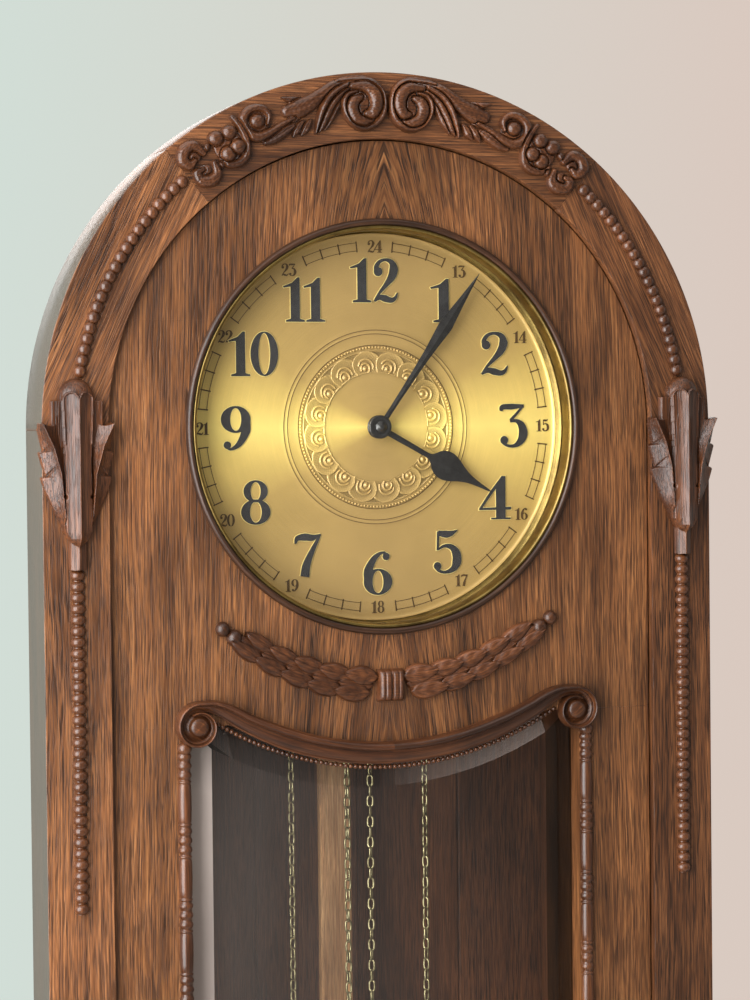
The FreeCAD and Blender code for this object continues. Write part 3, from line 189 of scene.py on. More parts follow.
def plate(outline, front, back, bevel=0.0):
    """A flat piece from an outline in X and Z, with a bevelled front edge."""
    outline = np.array(outline, float)
    along = np.roll(outline, -1, 0) - np.roll(outline, 1, 0)
    normal = np.stack([along[:, 1], -along[:, 0]], -1) * winding(outline)
    normal /= np.maximum(np.linalg.norm(normal, axis=1), 1e-9)[:, None]
    points, faces = stacked([(outline, back), (outline, front + bevel), (outline - normal * bevel, front)])
    count = len(outline)
    return points, [*map(tuple, faces), tuple(range(2 * count, 3 * count))]


def slab(outline, front, back, bevel):
    """A board from an outline in X and Z, eased along its front and back edges."""
    outline = np.array(outline, float)
    inner = grown(outline, -bevel)
    levels = ((inner, front), (outline, front + bevel), (outline, back - bevel), (inner, back))
    points, faces = stacked(levels)
    count = len(outline)
    return points, [*map(tuple, faces), tuple(range(count)), tuple(range(3 * count, 4 * count))]


def ribbon(points, widths, front, back):
    """A flat strip along a line in X and Z, with its edges turned back to a plane."""
    line = np.array(points, float)
    along = headings(line)
    side = np.stack([-along[:, 1], along[:, 0]], -1) * np.reshape(widths, (-1, 1))
    levels = ((line + side, back), (line + side, front), (line - side, front), (line - side, back))
    rows = [np.insert(edge, 1, y, 1) for edge, y in levels]
    return grid(np.array(rows).transpose(1, 0, 2))


def hoop(centre, outer, inner, front, back, steps=56):
    """A flat ring with two radii outside and in, with its edges turned back to a plane."""
    outside = np.array(centre) + circle(steps) * np.array(outer)
    inside = np.array(centre) + circle(steps) * np.array(inner)
    return stacked([(outside, back), (outside, front), (inside, front), (inside, back)])


# Named objects from meshes
def piece(name, parts, material, body, stands_for=(), smooth=True):
    """One named object from several point and face sets, riding on a body if one is named."""
    points, polygons, base = [], [], 0
    for some, faces in parts:
        some = np.asarray(some, float).reshape(-1, 3)
        points.append(some)
        polygons += [tuple(int(i) + base for i in face) for face in faces]
        base += len(some)
    mesh = bpy.data.meshes.new(name)
    mesh.from_pydata(np.concatenate(points).tolist(), [], polygons)
    mesh.polygons.foreach_set("use_smooth", [smooth] * len(polygons))
    mesh.materials.append(material)
    item = bpy.data.objects.new(name, mesh)
    bpy.context.scene.collection.objects.link(item)
    if body:
        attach(item, body)
    if stands_for:
        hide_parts(*stands_for)
    return item


# Relief carving: heights over a flat field of s and t, in millimetres, raised by tapered strokes
class Field:
    def __init__(self, s_range, t_range, step):
        self.s = np.arange(s_range[0], s_range[1] + step / 2, step)
        self.t = np.arange(t_range[0], t_range[1] + step / 2, step)
        self.S, self.T = np.meshgrid(self.s, self.t)
        self.h = np.full(self.S.shape, -1.0)

    def stroke(self, points, widths, height, groove=0.0, flat=0.0, count=50):
        """Lays a rounded band along a smooth path over the work before it, with a cut line round the band.
        Groove sinks its middle, flat squares its section."""
        path = smooth_path(points, count)
        wide = spread(widths, count)
        tall = spread(height, count)
        cut = 1.1
        reach = wide.max() + cut
        rows = np.where((self.t > path[:, 1].min() - reach) & (self.t < path[:, 1].max() + reach))[0]
        columns = np.where((self.s > path[:, 0].min() - reach) & (self.s < path[:, 0].max() + reach))[0]
        part = np.ix_(rows, columns)
        s, t = self.S[part], self.T[part]
        best = np.full(s.shape, 9.0)
        top = np.zeros(s.shape)
        for k in range(count - 1):
            start, step = path[k], path[k + 1] - path[k]
            share = ((s - start[0]) * step[0] + (t - start[1]) * step[1]) / max(step @ step, 1e-9)
            share = np.clip(share, 0, 1)
            gap = np.hypot(s - start[0] - share * step[0], t - start[1] - share * step[1])
            half = np.maximum(wide[k] + share * (wide[k + 1] - wide[k]), 1e-6)
            ratio = np.where(gap < half, gap / half, 1 + (gap - half) / cut)
            near = ratio < best
            best[near] = ratio[near]
            top[near] = tall[k]
        section = np.clip(1 - best ** 2, 0, 1) ** (0.5 * (1 - flat))
        raised = np.maximum(top * (0.25 + 0.75 * section) - groove * np.exp(-(best / 0.22) ** 2), 0.3)
        before = self.h[part]
        sunk = before * (0.3 + 0.7 * np.clip(best - 1, 0, 1))
        beside = np.where((best < 2) & (before > 0), sunk, before)
        self.h[part] = np.where(best < 1, raised, beside)

    def mesh(self, place):
        """The raised cells as a mesh: place turns s, t and height into points."""
        points = place(self.S, self.T, self.h)
        kept = self.h > 0
        index = np.arange(self.h.size).reshape(self.h.shape)
        cell = kept[:-1, :-1] | kept[:-1, 1:] | kept[1:, 1:] | kept[1:, :-1]
        corners = [index[:-1, :-1], index[:-1, 1:], index[1:, 1:], index[1:, :-1]]
        faces = np.stack(corners, -1)[cell]
        used, faces = np.unique(faces, return_inverse=True)
        return points.reshape(-1, 3)[used], faces.reshape(-1, 4)


# Materials
def srgb(red, green, blue):
    """A linear colour from the usual 0 to 255."""
    shares = (red / 255, green / 255, blue / 255)
    return tuple(((c + 0.055) / 1.055) ** 2.4 if c > 0.04 else c / 12.92 for c in shares) + (1.0,)


def scaled(colour, factor):
    return tuple(min(1.0, c * factor) for c in colour[:3]) + (1.0,)


class Shader:
    """Adds nodes to a material or to the world. An input is a value or another node's output."""

    def __init__(self, owner):
        owner.use_nodes = True
        self.owner = owner
        self.nodes = owner.node_tree.nodes
        self.links = owner.node_tree.links

    def add(self, kind, inputs=None, **settings):
        item = self.nodes.new("ShaderNode" + kind)
        for key, value in settings.items():
            setattr(item, key, value)
        self.put(item, inputs or {})
        return item

    def put(self, item, inputs):
        for key, value in inputs.items():
            if isinstance(value, bpy.types.NodeSocket):
                self.links.new(value, item.inputs[key])
            else:
                item.inputs[key].default_value = value

    def finish(self, inputs):
        self.put(self.nodes["Principled BSDF"], inputs)
        return self.owner

    def place(self, kind="Object"):
        return self.add("TexCoord").outputs[kind]

    def split(self, vector):
        return self.add("SeparateXYZ", {0: vector}).outputs

    def combine(self, x, y, z):
        return self.add("CombineXYZ", {0: x, 1: y, 2: z}).outputs[0]

    def vector(self, kind, first, second):
        return self.add("VectorMath", {0: first, 1: second}, operation=kind).outputs[0]

    def math(self, kind, first, second=0.0, third=0.0):
        return self.add("Math", {0: first, 1: second, 2: third}, operation=kind).outputs[0]

    def plus(self, first, second):
        return self.math("ADD", first, second)

    def minus(self, first, second):
        return self.math("SUBTRACT", first, second)

    def times(self, first, second):
        return self.math("MULTIPLY", first, second)

    def reach(self, x, z):
        """The distance from the origin in a plane."""
        return self.math("SQRT", self.plus(self.times(x, x), self.times(z, z)))

    def mix(self, share, first, second, blend="MIX"):
        item = self.add("Mix", {0: share, 6: first, 7: second}, data_type="RGBA", blend_type=blend)
        return item.outputs[2]

    def between(self, share, first, second):
        """A share of two shaders."""
        return self.add("MixShader", {0: share, 1: first, 2: second}).outputs[0]

    def ramp(self, share, stops):
        item = self.add("ValToRGB", {0: share})
        while len(item.color_ramp.elements) < len(stops):
            item.color_ramp.elements.new(0.5)
        for element, (position, colour) in zip(item.color_ramp.elements, stops):
            element.position = position
            element.color = colour if isinstance(colour, tuple) else (colour, colour, colour, 1)
        return item.outputs[0]

    def tint(self, tone, share, stops):
        """A tone multiplied by a ramp."""
        return self.mix(1.0, tone, self.ramp(share, stops), "MULTIPLY")

    def noise(self, vector, scale, detail, rough, output="Fac"):
        """Noise at one scale, or stretched by three scales."""
        if isinstance(scale, tuple):
            vector = self.vector("MULTIPLY", vector, scale)
            scale = 1.0
        inputs = {"Vector": vector, "Scale": scale, "Detail": detail, "Roughness": rough}
        return self.add("TexNoise", inputs).outputs[output]

    def bump(self, height, strength, distance=0.3 * MM):
        inputs = {"Height": height, "Strength": strength, "Distance": distance}
        return self.add("Bump", inputs).outputs[0]


SLANTS = {"left": 65, "right": 115}
FOLD_REACH = 0.07
FOLD_SLOPE = 0.2
FOLD_CHANCE = 0.37
GRAIN_STEPS = (1.0, 3.7, 7.1)


def grain_space(look, along, place):
    """Coordinates across, through and along the grain: straight, slanting, round the dial, or in two mirrored
    sheets that meet in a fold."""
    x, y, z = look.split(place)
    if along == "x":
        return look.combine(z, y, x)
    if along == "y":
        return look.combine(x, z, y)
    if along == "z":
        return look.combine(x, y, z)
    above = look.minus(z, DIAL_Z)
    if along == "fold":
        fold = look.math("ABSOLUTE", x)
        slope = look.times(look.math("EXPONENT", look.times(fold, -1 / FOLD_REACH)), FOLD_SLOPE)
        return look.combine(look.plus(fold, look.times(above, slope)), y, z)
    if along in SLANTS:
        tilt = math.radians(SLANTS[along])
        across = look.minus(look.times(x, math.sin(tilt)), look.times(above, math.cos(tilt)))
        length = look.plus(look.times(x, math.cos(tilt)), look.times(above, math.sin(tilt)))
        return look.combine(across, y, length)
    if along == "bowl":
        above = look.minus(DIAL_Z, z)
    return look.combine(look.reach(x, above), y, look.times(look.math("ARCTAN2", x, above), BAND_RADIUS))


def wood(name, along, tones, rough=0.44, gloss=0.18, pores=1.0, sheen=0.35, carved=False, painted_left_sheen=0.0):
    """Open-grained oak: streaks, bands and dark pores that run along the grain. Carved work is darker in its
    recesses, partly dirt and partly painted shade, and lighter on its edges, and a painted grey reflection
    can be laid on the faces that look to the left."""
    dark, mid, light = tones
    look = Shader(bpy.data.materials.new(name))
    place = look.place()
    grain = grain_space(look, along, place)
    if along == "fold":
        shift = tuple(FOLD_CHANCE * step for step in GRAIN_STEPS)
    else:
        shift = look.vector("MULTIPLY", look.add("ObjectInfo").outputs["Random"], GRAIN_STEPS)
    grain = look.vector("ADD", grain, shift)
    waver = look.noise(grain, (9, 9, 3.2), 2.0, 0.5, "Color")
    grain = look.vector("ADD", grain, look.vector("MULTIPLY", waver, (0.012, 0.012, 0.0)))
    band = look.noise(grain, (20, 20, 0.9), 3.0, 0.55)
    cloud = look.noise(place, 7.0, 3.0, 0.5)
    age = look.noise(grain, (42, 42, 6.0), 3.0, 0.6)
    streak = look.noise(grain, (900, 900, 13.0), 3.0, 0.6)
    fine = look.noise(grain, (1400, 1400, 70), 2.0, 0.6)
    pore = look.noise(grain, (1350, 1350, 42), 1.0, 0.4)
    tone = look.ramp(streak, [(0.22, dark), (0.5, mid), (0.80, light)])
    tone = look.tint(tone, band, [(0.3, 0.74), (0.5, 0.97), (0.7, 1.18)])
    tone = look.tint(tone, cloud, [(0.3, 0.72), (0.7, 1.18)])
    tone = look.tint(tone, age, [(0.36, srgb(190, 184, 178)), (0.54, 1.05)])
    tone = look.tint(tone, fine, [(0.3, 0.62), (0.66, 1.2)])
    holes = look.ramp(pore, [(0.52, 0.0), (0.62, 1.0)])
    dense = look.ramp(band, [(0.35, 1.0), (0.65, 0.35)])
    tone = look.mix(look.times(look.times(holes, dense), 0.9 * pores), tone, scaled(dark, 0.2))
    shape = look.add("NewGeometry").outputs
    # Pointiness darkens the recesses, partly as dirt and partly as painted shade, and lightens the edges.
    if carved:
        tone = look.tint(tone, shape["Pointiness"], [(0.40, 0.28), (0.49, 0.92), (0.52, 1.05), (0.60, 1.5)])
    # Painted reflection: the faces that look to the left are turned grey, standing for a sheen of reflected
    # light.
    if painted_left_sheen:
        side = look.plus(look.split(shape["Normal"])[0], 1.0)
        tone = look.mix(look.ramp(side, [(0.08, painted_left_sheen), (0.35, 0.0)]), tone, srgb(76, 75, 67))
    uneven = look.math("MULTIPLY_ADD", band, 0.16, rough - 0.08)
    relief = look.minus(look.times(fine, 0.35), look.times(holes, 0.65 * pores))
    return look.finish({"Base Color": tone, "Roughness": uneven, "Normal": look.bump(relief, sheen, 0.6 * MM),
                        "Coat Weight": gloss, "Coat Roughness": 0.28, "Specular IOR Level": 0.35})


def brass(name, bright, dull, rough, wear=60.0):
    """Brass with dull patches and fine specks."""
    look = Shader(bpy.data.materials.new(name))
    place = look.place()
    cloud = look.noise(place, wear, 4.0, 0.6)
    specks = look.noise(place, 900.0, 2.0, 0.5)
    tone = look.ramp(cloud, [(0.35, dull), (0.65, bright)])
    tone = look.tint(tone, specks, [(0.3, 0.85), (0.6, 1.05)])
    uneven = look.math("MULTIPLY_ADD", cloud, 0.2, rough - 0.1)
    return look.finish({"Base Color": tone, "Metallic": 1.0, "Roughness": uneven,
                        "Normal": look.bump(specks, 0.06)})


def dial_gold(name, spun, relief=False):
    """Spun brass: a painted highlight to both sides, fine rings or a grained centre, and dark recesses in a
    relief.
    """
    look = Shader(bpy.data.materials.new(name))
    place = look.place()
    x, y, z = look.split(place)
    above = look.minus(z, DIAL_Z)
    radius = look.reach(x, above)
    # Painted highlight: the tone is brightest to the left and right of the centre and darker above and below
    # it.
    level = look.math("ABSOLUTE", look.math("DIVIDE", above, look.plus(radius, 4 * MM)))
    tone = look.ramp(level, [(0.0, srgb(244, 214, 122)), (0.2, srgb(226, 192, 108)),
                             (0.5, srgb(184, 151, 89)), (1.0, srgb(166, 134, 82))])
    lines = look.noise(look.combine(look.times(radius, 2600.0), 0.0, look.times(level, 2.0)), 1.0, 3.0, 0.6)
    tone = look.tint(tone, lines, [(0.25, 0.90), (0.75, 1.06)])
    tone = look.tint(tone, look.noise(place, 24.0, 4.0, 0.6), [(0.3, 0.90), (0.7, 1.05)])
    if relief:
        rise = look.math("DIVIDE", look.minus(DIAL_FACE, y), 1.5 * MM)
        tone = look.tint(tone, rise, [(0.05, 0.58), (0.30, 0.86), (0.7, 1.15)])
    bump = look.bump(lines, 0.05) if spun else look.bump(look.noise(place, 1500.0, 2.0, 0.6), 0.22)
    tangent = look.add("Tangent", direction_type="RADIAL", axis="Y").outputs[0]
    return look.finish({"Base Color": tone, "Metallic": 0.22, "Roughness": 0.34, "Anisotropic": 0.55,
                        "Tangent": tangent, "Normal": bump})


def plain(name, colour, rough, metal=0.0, grain=300.0, vary=0.25, coat=0.0):
    """A painted or bare surface with an uneven tone."""
    look = Shader(bpy.data.materials.new(name))
    cloud = look.noise(look.place(), grain, 4.0, 0.6)
    tone = look.ramp(cloud, [(0.3, scaled(colour, 1 - vary)), (0.7, scaled(colour, 1 + vary))])
    uneven = look.math("MULTIPLY_ADD", cloud, 0.2, rough - 0.1)
    return look.finish({"Base Color": tone, "Metallic": metal, "Roughness": uneven, "Coat Weight": coat,
                        "Normal": look.bump(cloud, 0.08)})


GLASS_INDEX = 1.45
BEVEL_SLOPE = 12.0


def clear(name, tint, dust_and_glare_weight, mirror, painted_bevel_light=0.0):
    """Thin glass: light passes straight through, and the surface mirrors by its angle. A pale film of dust
    smears and painted reflection lies over it, strongest at the left and fading to the right. On a bevel,
    painted reflection can be added to faces that look to the left and painted shade to those that look to the
    right."""
    look = Shader(bpy.data.materials.new(name))
    place = look.place()
    smear = look.noise(place, (9, 9, 3), 3.0, 0.6)
    through = look.add("BsdfTransparent", {"Color": tint})
    # Painted reflection: the pale film is strongest at the left and fades to the right.
    across = look.math("MULTIPLY_ADD", look.split(place)[0], 3.4, 0.5)
    painted_glare_falloff = look.ramp(across, [(0.0, 1.0), (0.45, 0.45), (1.0, 0.05)])
    dust_and_glare = look.times(look.times(look.ramp(smear, [(0.35, 0.5), (0.7, 1.0)]), painted_glare_falloff), dust_and_glare_weight)
    if painted_bevel_light:
        # Painted reflection on faces that look to the left, painted shade on faces that look to the right.
        side = look.split(look.place("Normal"))[0]
        painted_shade_tint = look.ramp(look.times(side, BEVEL_SLOPE), [(0.1, tint), (0.8, (0.30, 0.33, 0.28, 1))])
        look.put(through, {"Color": painted_shade_tint})
        glare_patch = look.ramp(look.noise(place, (3, 3, 6), 2.0, 0.4), [(0.40, 0.45), (0.50, 0.85), (0.62, 0.6)])
        turned = look.times(look.math("MAXIMUM", look.times(side, -BEVEL_SLOPE), 0.0), painted_bevel_light)
        dust_and_glare = look.plus(dust_and_glare, look.times(turned, glare_patch))
    dust_and_glare_film = look.add("BsdfDiffuse", {"Color": srgb(212, 194, 184)})
    shine = look.add("BsdfGlossy", {"Color": (1, 1, 1, 1), "Roughness": look.times(smear, 0.05)})
    body = look.between(dust_and_glare, through.outputs[0], dust_and_glare_film.outputs[0])
    behind = look.add("NewGeometry").outputs["Backfacing"]
    index = look.math("MULTIPLY_ADD", behind, 1 / GLASS_INDEX - GLASS_INDEX, GLASS_INDEX)
    edge = look.times(look.add("Fresnel", {"IOR": index}).outputs[0], mirror)
    look.put(look.nodes["Material Output"], {"Surface": look.between(edge, body, shine.outputs[0])})
    return look.owner


# Dark, middle and light tones of the oak
OAK = (srgb(54, 28, 13), srgb(117, 72, 39), srgb(164, 111, 66))
ARCH = (srgb(50, 27, 14), srgb(104, 62, 34), srgb(150, 98, 58))
# Painted light: a lighter copy of the arch tones for the left stile and the left of the arch, as if lit more
# strongly.
PAINTED_LIT = (srgb(58, 32, 17), srgb(120, 74, 42), srgb(170, 114, 70))
CASE = (srgb(68, 38, 22), srgb(100, 60, 36), srgb(126, 80, 50))
CARVED = (srgb(58, 31, 15), srgb(90, 50, 26), srgb(118, 72, 40))
LIP = (srgb(34, 18, 9), srgb(52, 30, 16), srgb(72, 43, 24))
ROD = (srgb(196, 138, 92), srgb(222, 166, 116), srgb(238, 190, 138))
frame_oak = wood("FrameOak", "z", ARCH)
edge_oak = wood("EdgeOak", "z", PAINTED_LIT, painted_left_sheen=0.9)
left_oak = wood("LeftArchOak", "left", PAINTED_LIT, painted_left_sheen=0.9)
right_oak = wood("RightArchOak", "right", ARCH)
arch_oak = wood("ArchOak", "x", ARCH)
rail_oak = wood("RailOak", "x", ARCH)
depth_oak = wood("DepthOak", "y", ARCH)
door_oak = wood("DoorOak", "fold", OAK)
carved_oak = wood("CarvedOak", "bowl", CARVED, 0.38, 0.15, 0.5, 0.2, carved=True)
bead_oak = wood("BeadOak", "z", CARVED, 0.32, 0.30, 0.3, 0.15)
corbel_oak = wood("CorbelOak", "z", CARVED, 0.36, 0.16, 1.0, 0.5, carved=True)
crest_oak = wood("CrestOak", "arch", CARVED, 0.36, 0.20, 0.5, 0.2, carved=True)
scroll_oak = wood("ScrollOak", "bowl", CARVED, 0.36, 0.18, 0.6, 0.25, carved=True)
lip_oak = wood("LipOak", "arch", LIP, 0.38, 0.12, 0.5, 0.2, carved=True)
case_oak = wood("CarcassOak", "z", CASE, 0.48, 0.05)
roof_oak = wood("RoofOak", "y", CASE, 0.48, 0.05)
seat_oak = wood("ShelfOak", "x", CASE, 0.48, 0.05)
rod_wood = wood("RodWood", "z", ROD, rough=0.38, pores=0.3)
spun_gold = dial_gold("SpunGold", True)
grained_gold = dial_gold("GrainedGold", False)
relief_gold = dial_gold("ReliefGold", True, True)
movement_brass = brass("MovementBrass", srgb(222, 188, 112), srgb(176, 140, 78), 0.34)
polished_brass = brass("PolishedBrass", srgb(236, 202, 124), srgb(196, 158, 88), 0.22)
chain_brass = brass("ChainBrass", srgb(182, 170, 130), srgb(126, 114, 80), 0.40, 200.0)
rim_brass = brass("RimBrass", srgb(152, 128, 74), srgb(98, 80, 46), 0.36, 30.0)
numeral_blue = plain("NumeralBlue", srgb(46, 44, 45), 0.42, grain=260.0, vary=0.3)
numeral_edge = plain("NumeralEdge", srgb(240, 218, 142), 0.35, metal=0.4, grain=400.0, vary=0.1)
line_brown = plain("LineBrown", srgb(84, 60, 30), 0.5, metal=0.2, grain=500.0, vary=0.2)
hand_black = plain("HandBlack", srgb(46, 44, 44), 0.32, metal=0.45, grain=220.0, vary=0.35, coat=0.3)
steel = plain("Steel", srgb(168, 168, 166), 0.32, metal=1.0, grain=240.0, vary=0.15)
clear_glass = clear("ClearGlass", (0.96, 0.97, 0.96, 1), 0.09, 0.45)
dome_glass = clear("DomeGlass", (0.985, 0.99, 0.98, 1), 0.004, 0.3)
bevel_glass = clear("BevelGlass", (0.84, 0.86, 0.85, 1), 0.06, 0.6, 1.1)


# CAD pieces: a material and, where they show, softened edges of a width in millimetres
def finish_node(name, material, edge):
    item = nodes[name]
    item.data.materials.clear()
    item.data.materials.append(material)
    if edge:
        item.modifiers.new("Weld", "WELD").merge_threshold = 1e-6
        bevel = item.modifiers.new("Bevel", "BEVEL")
        bevel.width = edge * MM
        bevel.segments = 2
        bevel.limit_method = "ANGLE"
        bevel.angle_limit = math.radians(40)


FINISHES = (
    (frame_oak, 1.6, "stile_right plinth_left plinth_right"),
    (edge_oak, 0.5, "stile_left"),
    (left_oak, 0.6, "arch_left"),
    (arch_oak, 0.6, "arch_crown"),
    (right_oak, 0.6, "arch_right"),
    (rail_oak, 1.6, "frame_bottom_rail plinth_front base_board"),
    (door_oak, 0.4, "door_stile_left door_stile_right door_apron door_head door_bottom_rail"),
    (case_oak, 1.2, "side_left side_right back_board"),
    (roof_oak, 1.2, "roof_panel"),
    (seat_oak, 1.2, "seat_board"),
    (movement_brass, 0, "front_plate back_plate great_wheel centre_wheel third_wheel escape_wheel"),
    (movement_brass, 0, "minute_wheel hour_wheel cannon_pinion sprocket_left strike_wheel dial_plate"),
    (polished_brass, 0, "case_hinge_leaves door_hinge_leaves pull_ring_left pull_ring_right"),
    (polished_brass, 0, "weight_left weight_right pendulum_bob"),
    (chain_brass, 0, "weight_chain_left weight_chain_right ring_chain_left ring_chain_right"),
    (steel, 0, "anchor hammer gong lock_bolt lock_case"),
    (hand_black, 0, "minute_hand hour_hand"),
    (carved_oak, 0, "bead_strings leaf_corbels crest_carving"),
    (carved_oak, 0, "laurel_swag scroll_moulding bead_columns dial_lip"),
    (rod_wood, 0, "pendulum_rod"),
    (clear_glass, 0, "door_glass"),
    (dome_glass, 0, "dial_glass"),
)
for material, edge, names in FINISHES:
    for name in names.split():
        finish_node(name, material, edge)


# Bead strings on the frame, below and above the leaf corbels
def bead_strings():
    start, middle, pitch, count = 95.3, 213, 7.6, 31
    arch_start, arch_pitch, arch_count = 10.1, 1.92, 21
    parts = []
    for side in SIDES:
        for k in range(count):
            place = from_dial(side * BAND_MM, 0.6, -start - pitch * (k + 0.5), FRAME_FACE)
            parts.append(ball(place, (5.3, 5.0, 4.1)))
        drops = (start, middle, start + pitch * count)
        core = [from_dial(side * BAND_MM, 0, -drop, FRAME_FACE) for drop in drops]
        parts.append(tube(core, 3.1 * MM, (0, 1, 0)))
        for k in range(arch_count):
            angle = math.radians(arch_start + arch_pitch * k)
            place = from_dial(side * BAND_MM * math.cos(angle), 0.8, BAND_MM * math.sin(angle), FRAME_FACE)
            parts.append(ball(place, 4.6))
    piece("BeadStrings", parts, bead_oak, "case", ["bead_strings"])


# Leaf corbels: a ridged middle leaf, stepped shoulders and two splayed leaves with notched edges
def leaf_corbels():
    tip = -81
    field = Field((-27.0, 27.0), (-95.2, 35.0), 0.35)
    x, z = np.abs(field.S), field.T
    middle = np.interp(z, [tip, -76, -69.5, -58, -20, 0, 26], [0.1, 5.0, 8.8, 9.2, 9.0, 9.8, 10.6])
    ridge = np.interp(z, [tip, -69.5, -55, -30, -12, 4.6], [0.1, 8.8, 9.8, 12.2, 17.2, 25.0])
    outer = np.interp(z, [tip, -69.5, -53, -40.5, -33.2, -32.2, -31, -16.2, -15.2, -14, 0, 4.6],
                      [0.1, 9.0, 16.8, 22.2, 24.4, 24.2, 21.6, 25.8, 25.6, 23.2, 26.4, 25.8])
    h = np.where((z < -60) & (x < 5.4), 9.4 - 0.75 * x, -1.0)
    shoulder = (z > -12) & (z < 19.6) & (x < 17.6)
    h = np.maximum(h, np.where(shoulder, 6.4 + 0.4 * np.clip(x / 17.6, 0, 1), -1.0))
    hollow = 1.6 * np.sin(math.pi * np.clip((x - 12) / 13, 0, 1))
    lip = 4.6 - hollow - 8.0 * np.clip((14.0 - x) / 4.5, 0, 1) ** 2
    leaf = (z < np.where(x > 9.5, lip, -4.0)) & (z > tip) & (x < outer)
    inner_share = np.clip((x - middle) / np.maximum(ridge - middle, 0.4), 0, 1)
    inside = 5.8 + 6.4 * inner_share ** 1.6
    outer_share = np.clip((x - ridge) / np.maximum(outer - ridge, 0.4), 0, 1)
    outside = 11.8 - 8.6 * outer_share ** 0.75
    for start in (-15.0, -32.0):
        cut = np.abs((z - start) - 0.9 * (outer - x))
        outside = outside - 1.5 * np.exp(-(cut / 0.9) ** 2) * outer_share
    low = np.clip((z - tip) / 22, 0.35, 1)
    h = np.maximum(h, np.where(leaf, np.where(x < ridge, inside, outside) * low, -1.0))
    arch = 25.6 - 4.6 * np.clip(np.abs(x - 5.3) / 5.3, 0, 1) ** 2.4
    core = (x < middle) & (z < arch) & (z > tip)
    across = np.clip(x / np.maximum(middle, 0.4), 0, 1)
    facet = 15.6 - 5.4 * across - 0.9 * np.sin(math.pi * across)
    rim = np.exp(-((arch - z) / 1.1) ** 2) + 0.8 * np.exp(-((middle - x) / 0.8) ** 2) * (z > -10)
    facet = (facet + 0.9 * np.clip(rim, 0, 1)) * np.clip((z + 92) / 18, 0.7, 1)
    h = np.maximum(h, np.where(core, np.minimum(facet, 15.8), -1.0))
    dome = 1 - ((z - 22.0) / 12.8) ** 2 - (x / 12.2) ** 2
    cap = np.where((z > 14) & (dome > 0), 2.0 + 9.6 * np.sqrt(np.clip(dome, 0, 1)), -1.0)
    h = np.where(core & (z < arch - 0.5), h, np.maximum(h, cap))
    pit = np.hypot(x - 9.4, z + 45.5)
    field.h = np.where(h > 0, h - 3.2 * np.exp(-(pit / 1.1) ** 2), h)
    parts = []
    for side in SIDES:
        parts.append(field.mesh(lambda s, t, up: from_dial(side * BAND_MM + s, up, t, FRAME_FACE)))
    piece("LeafCorbels", parts, corbel_oak, "case", ["leaf_corbels"])


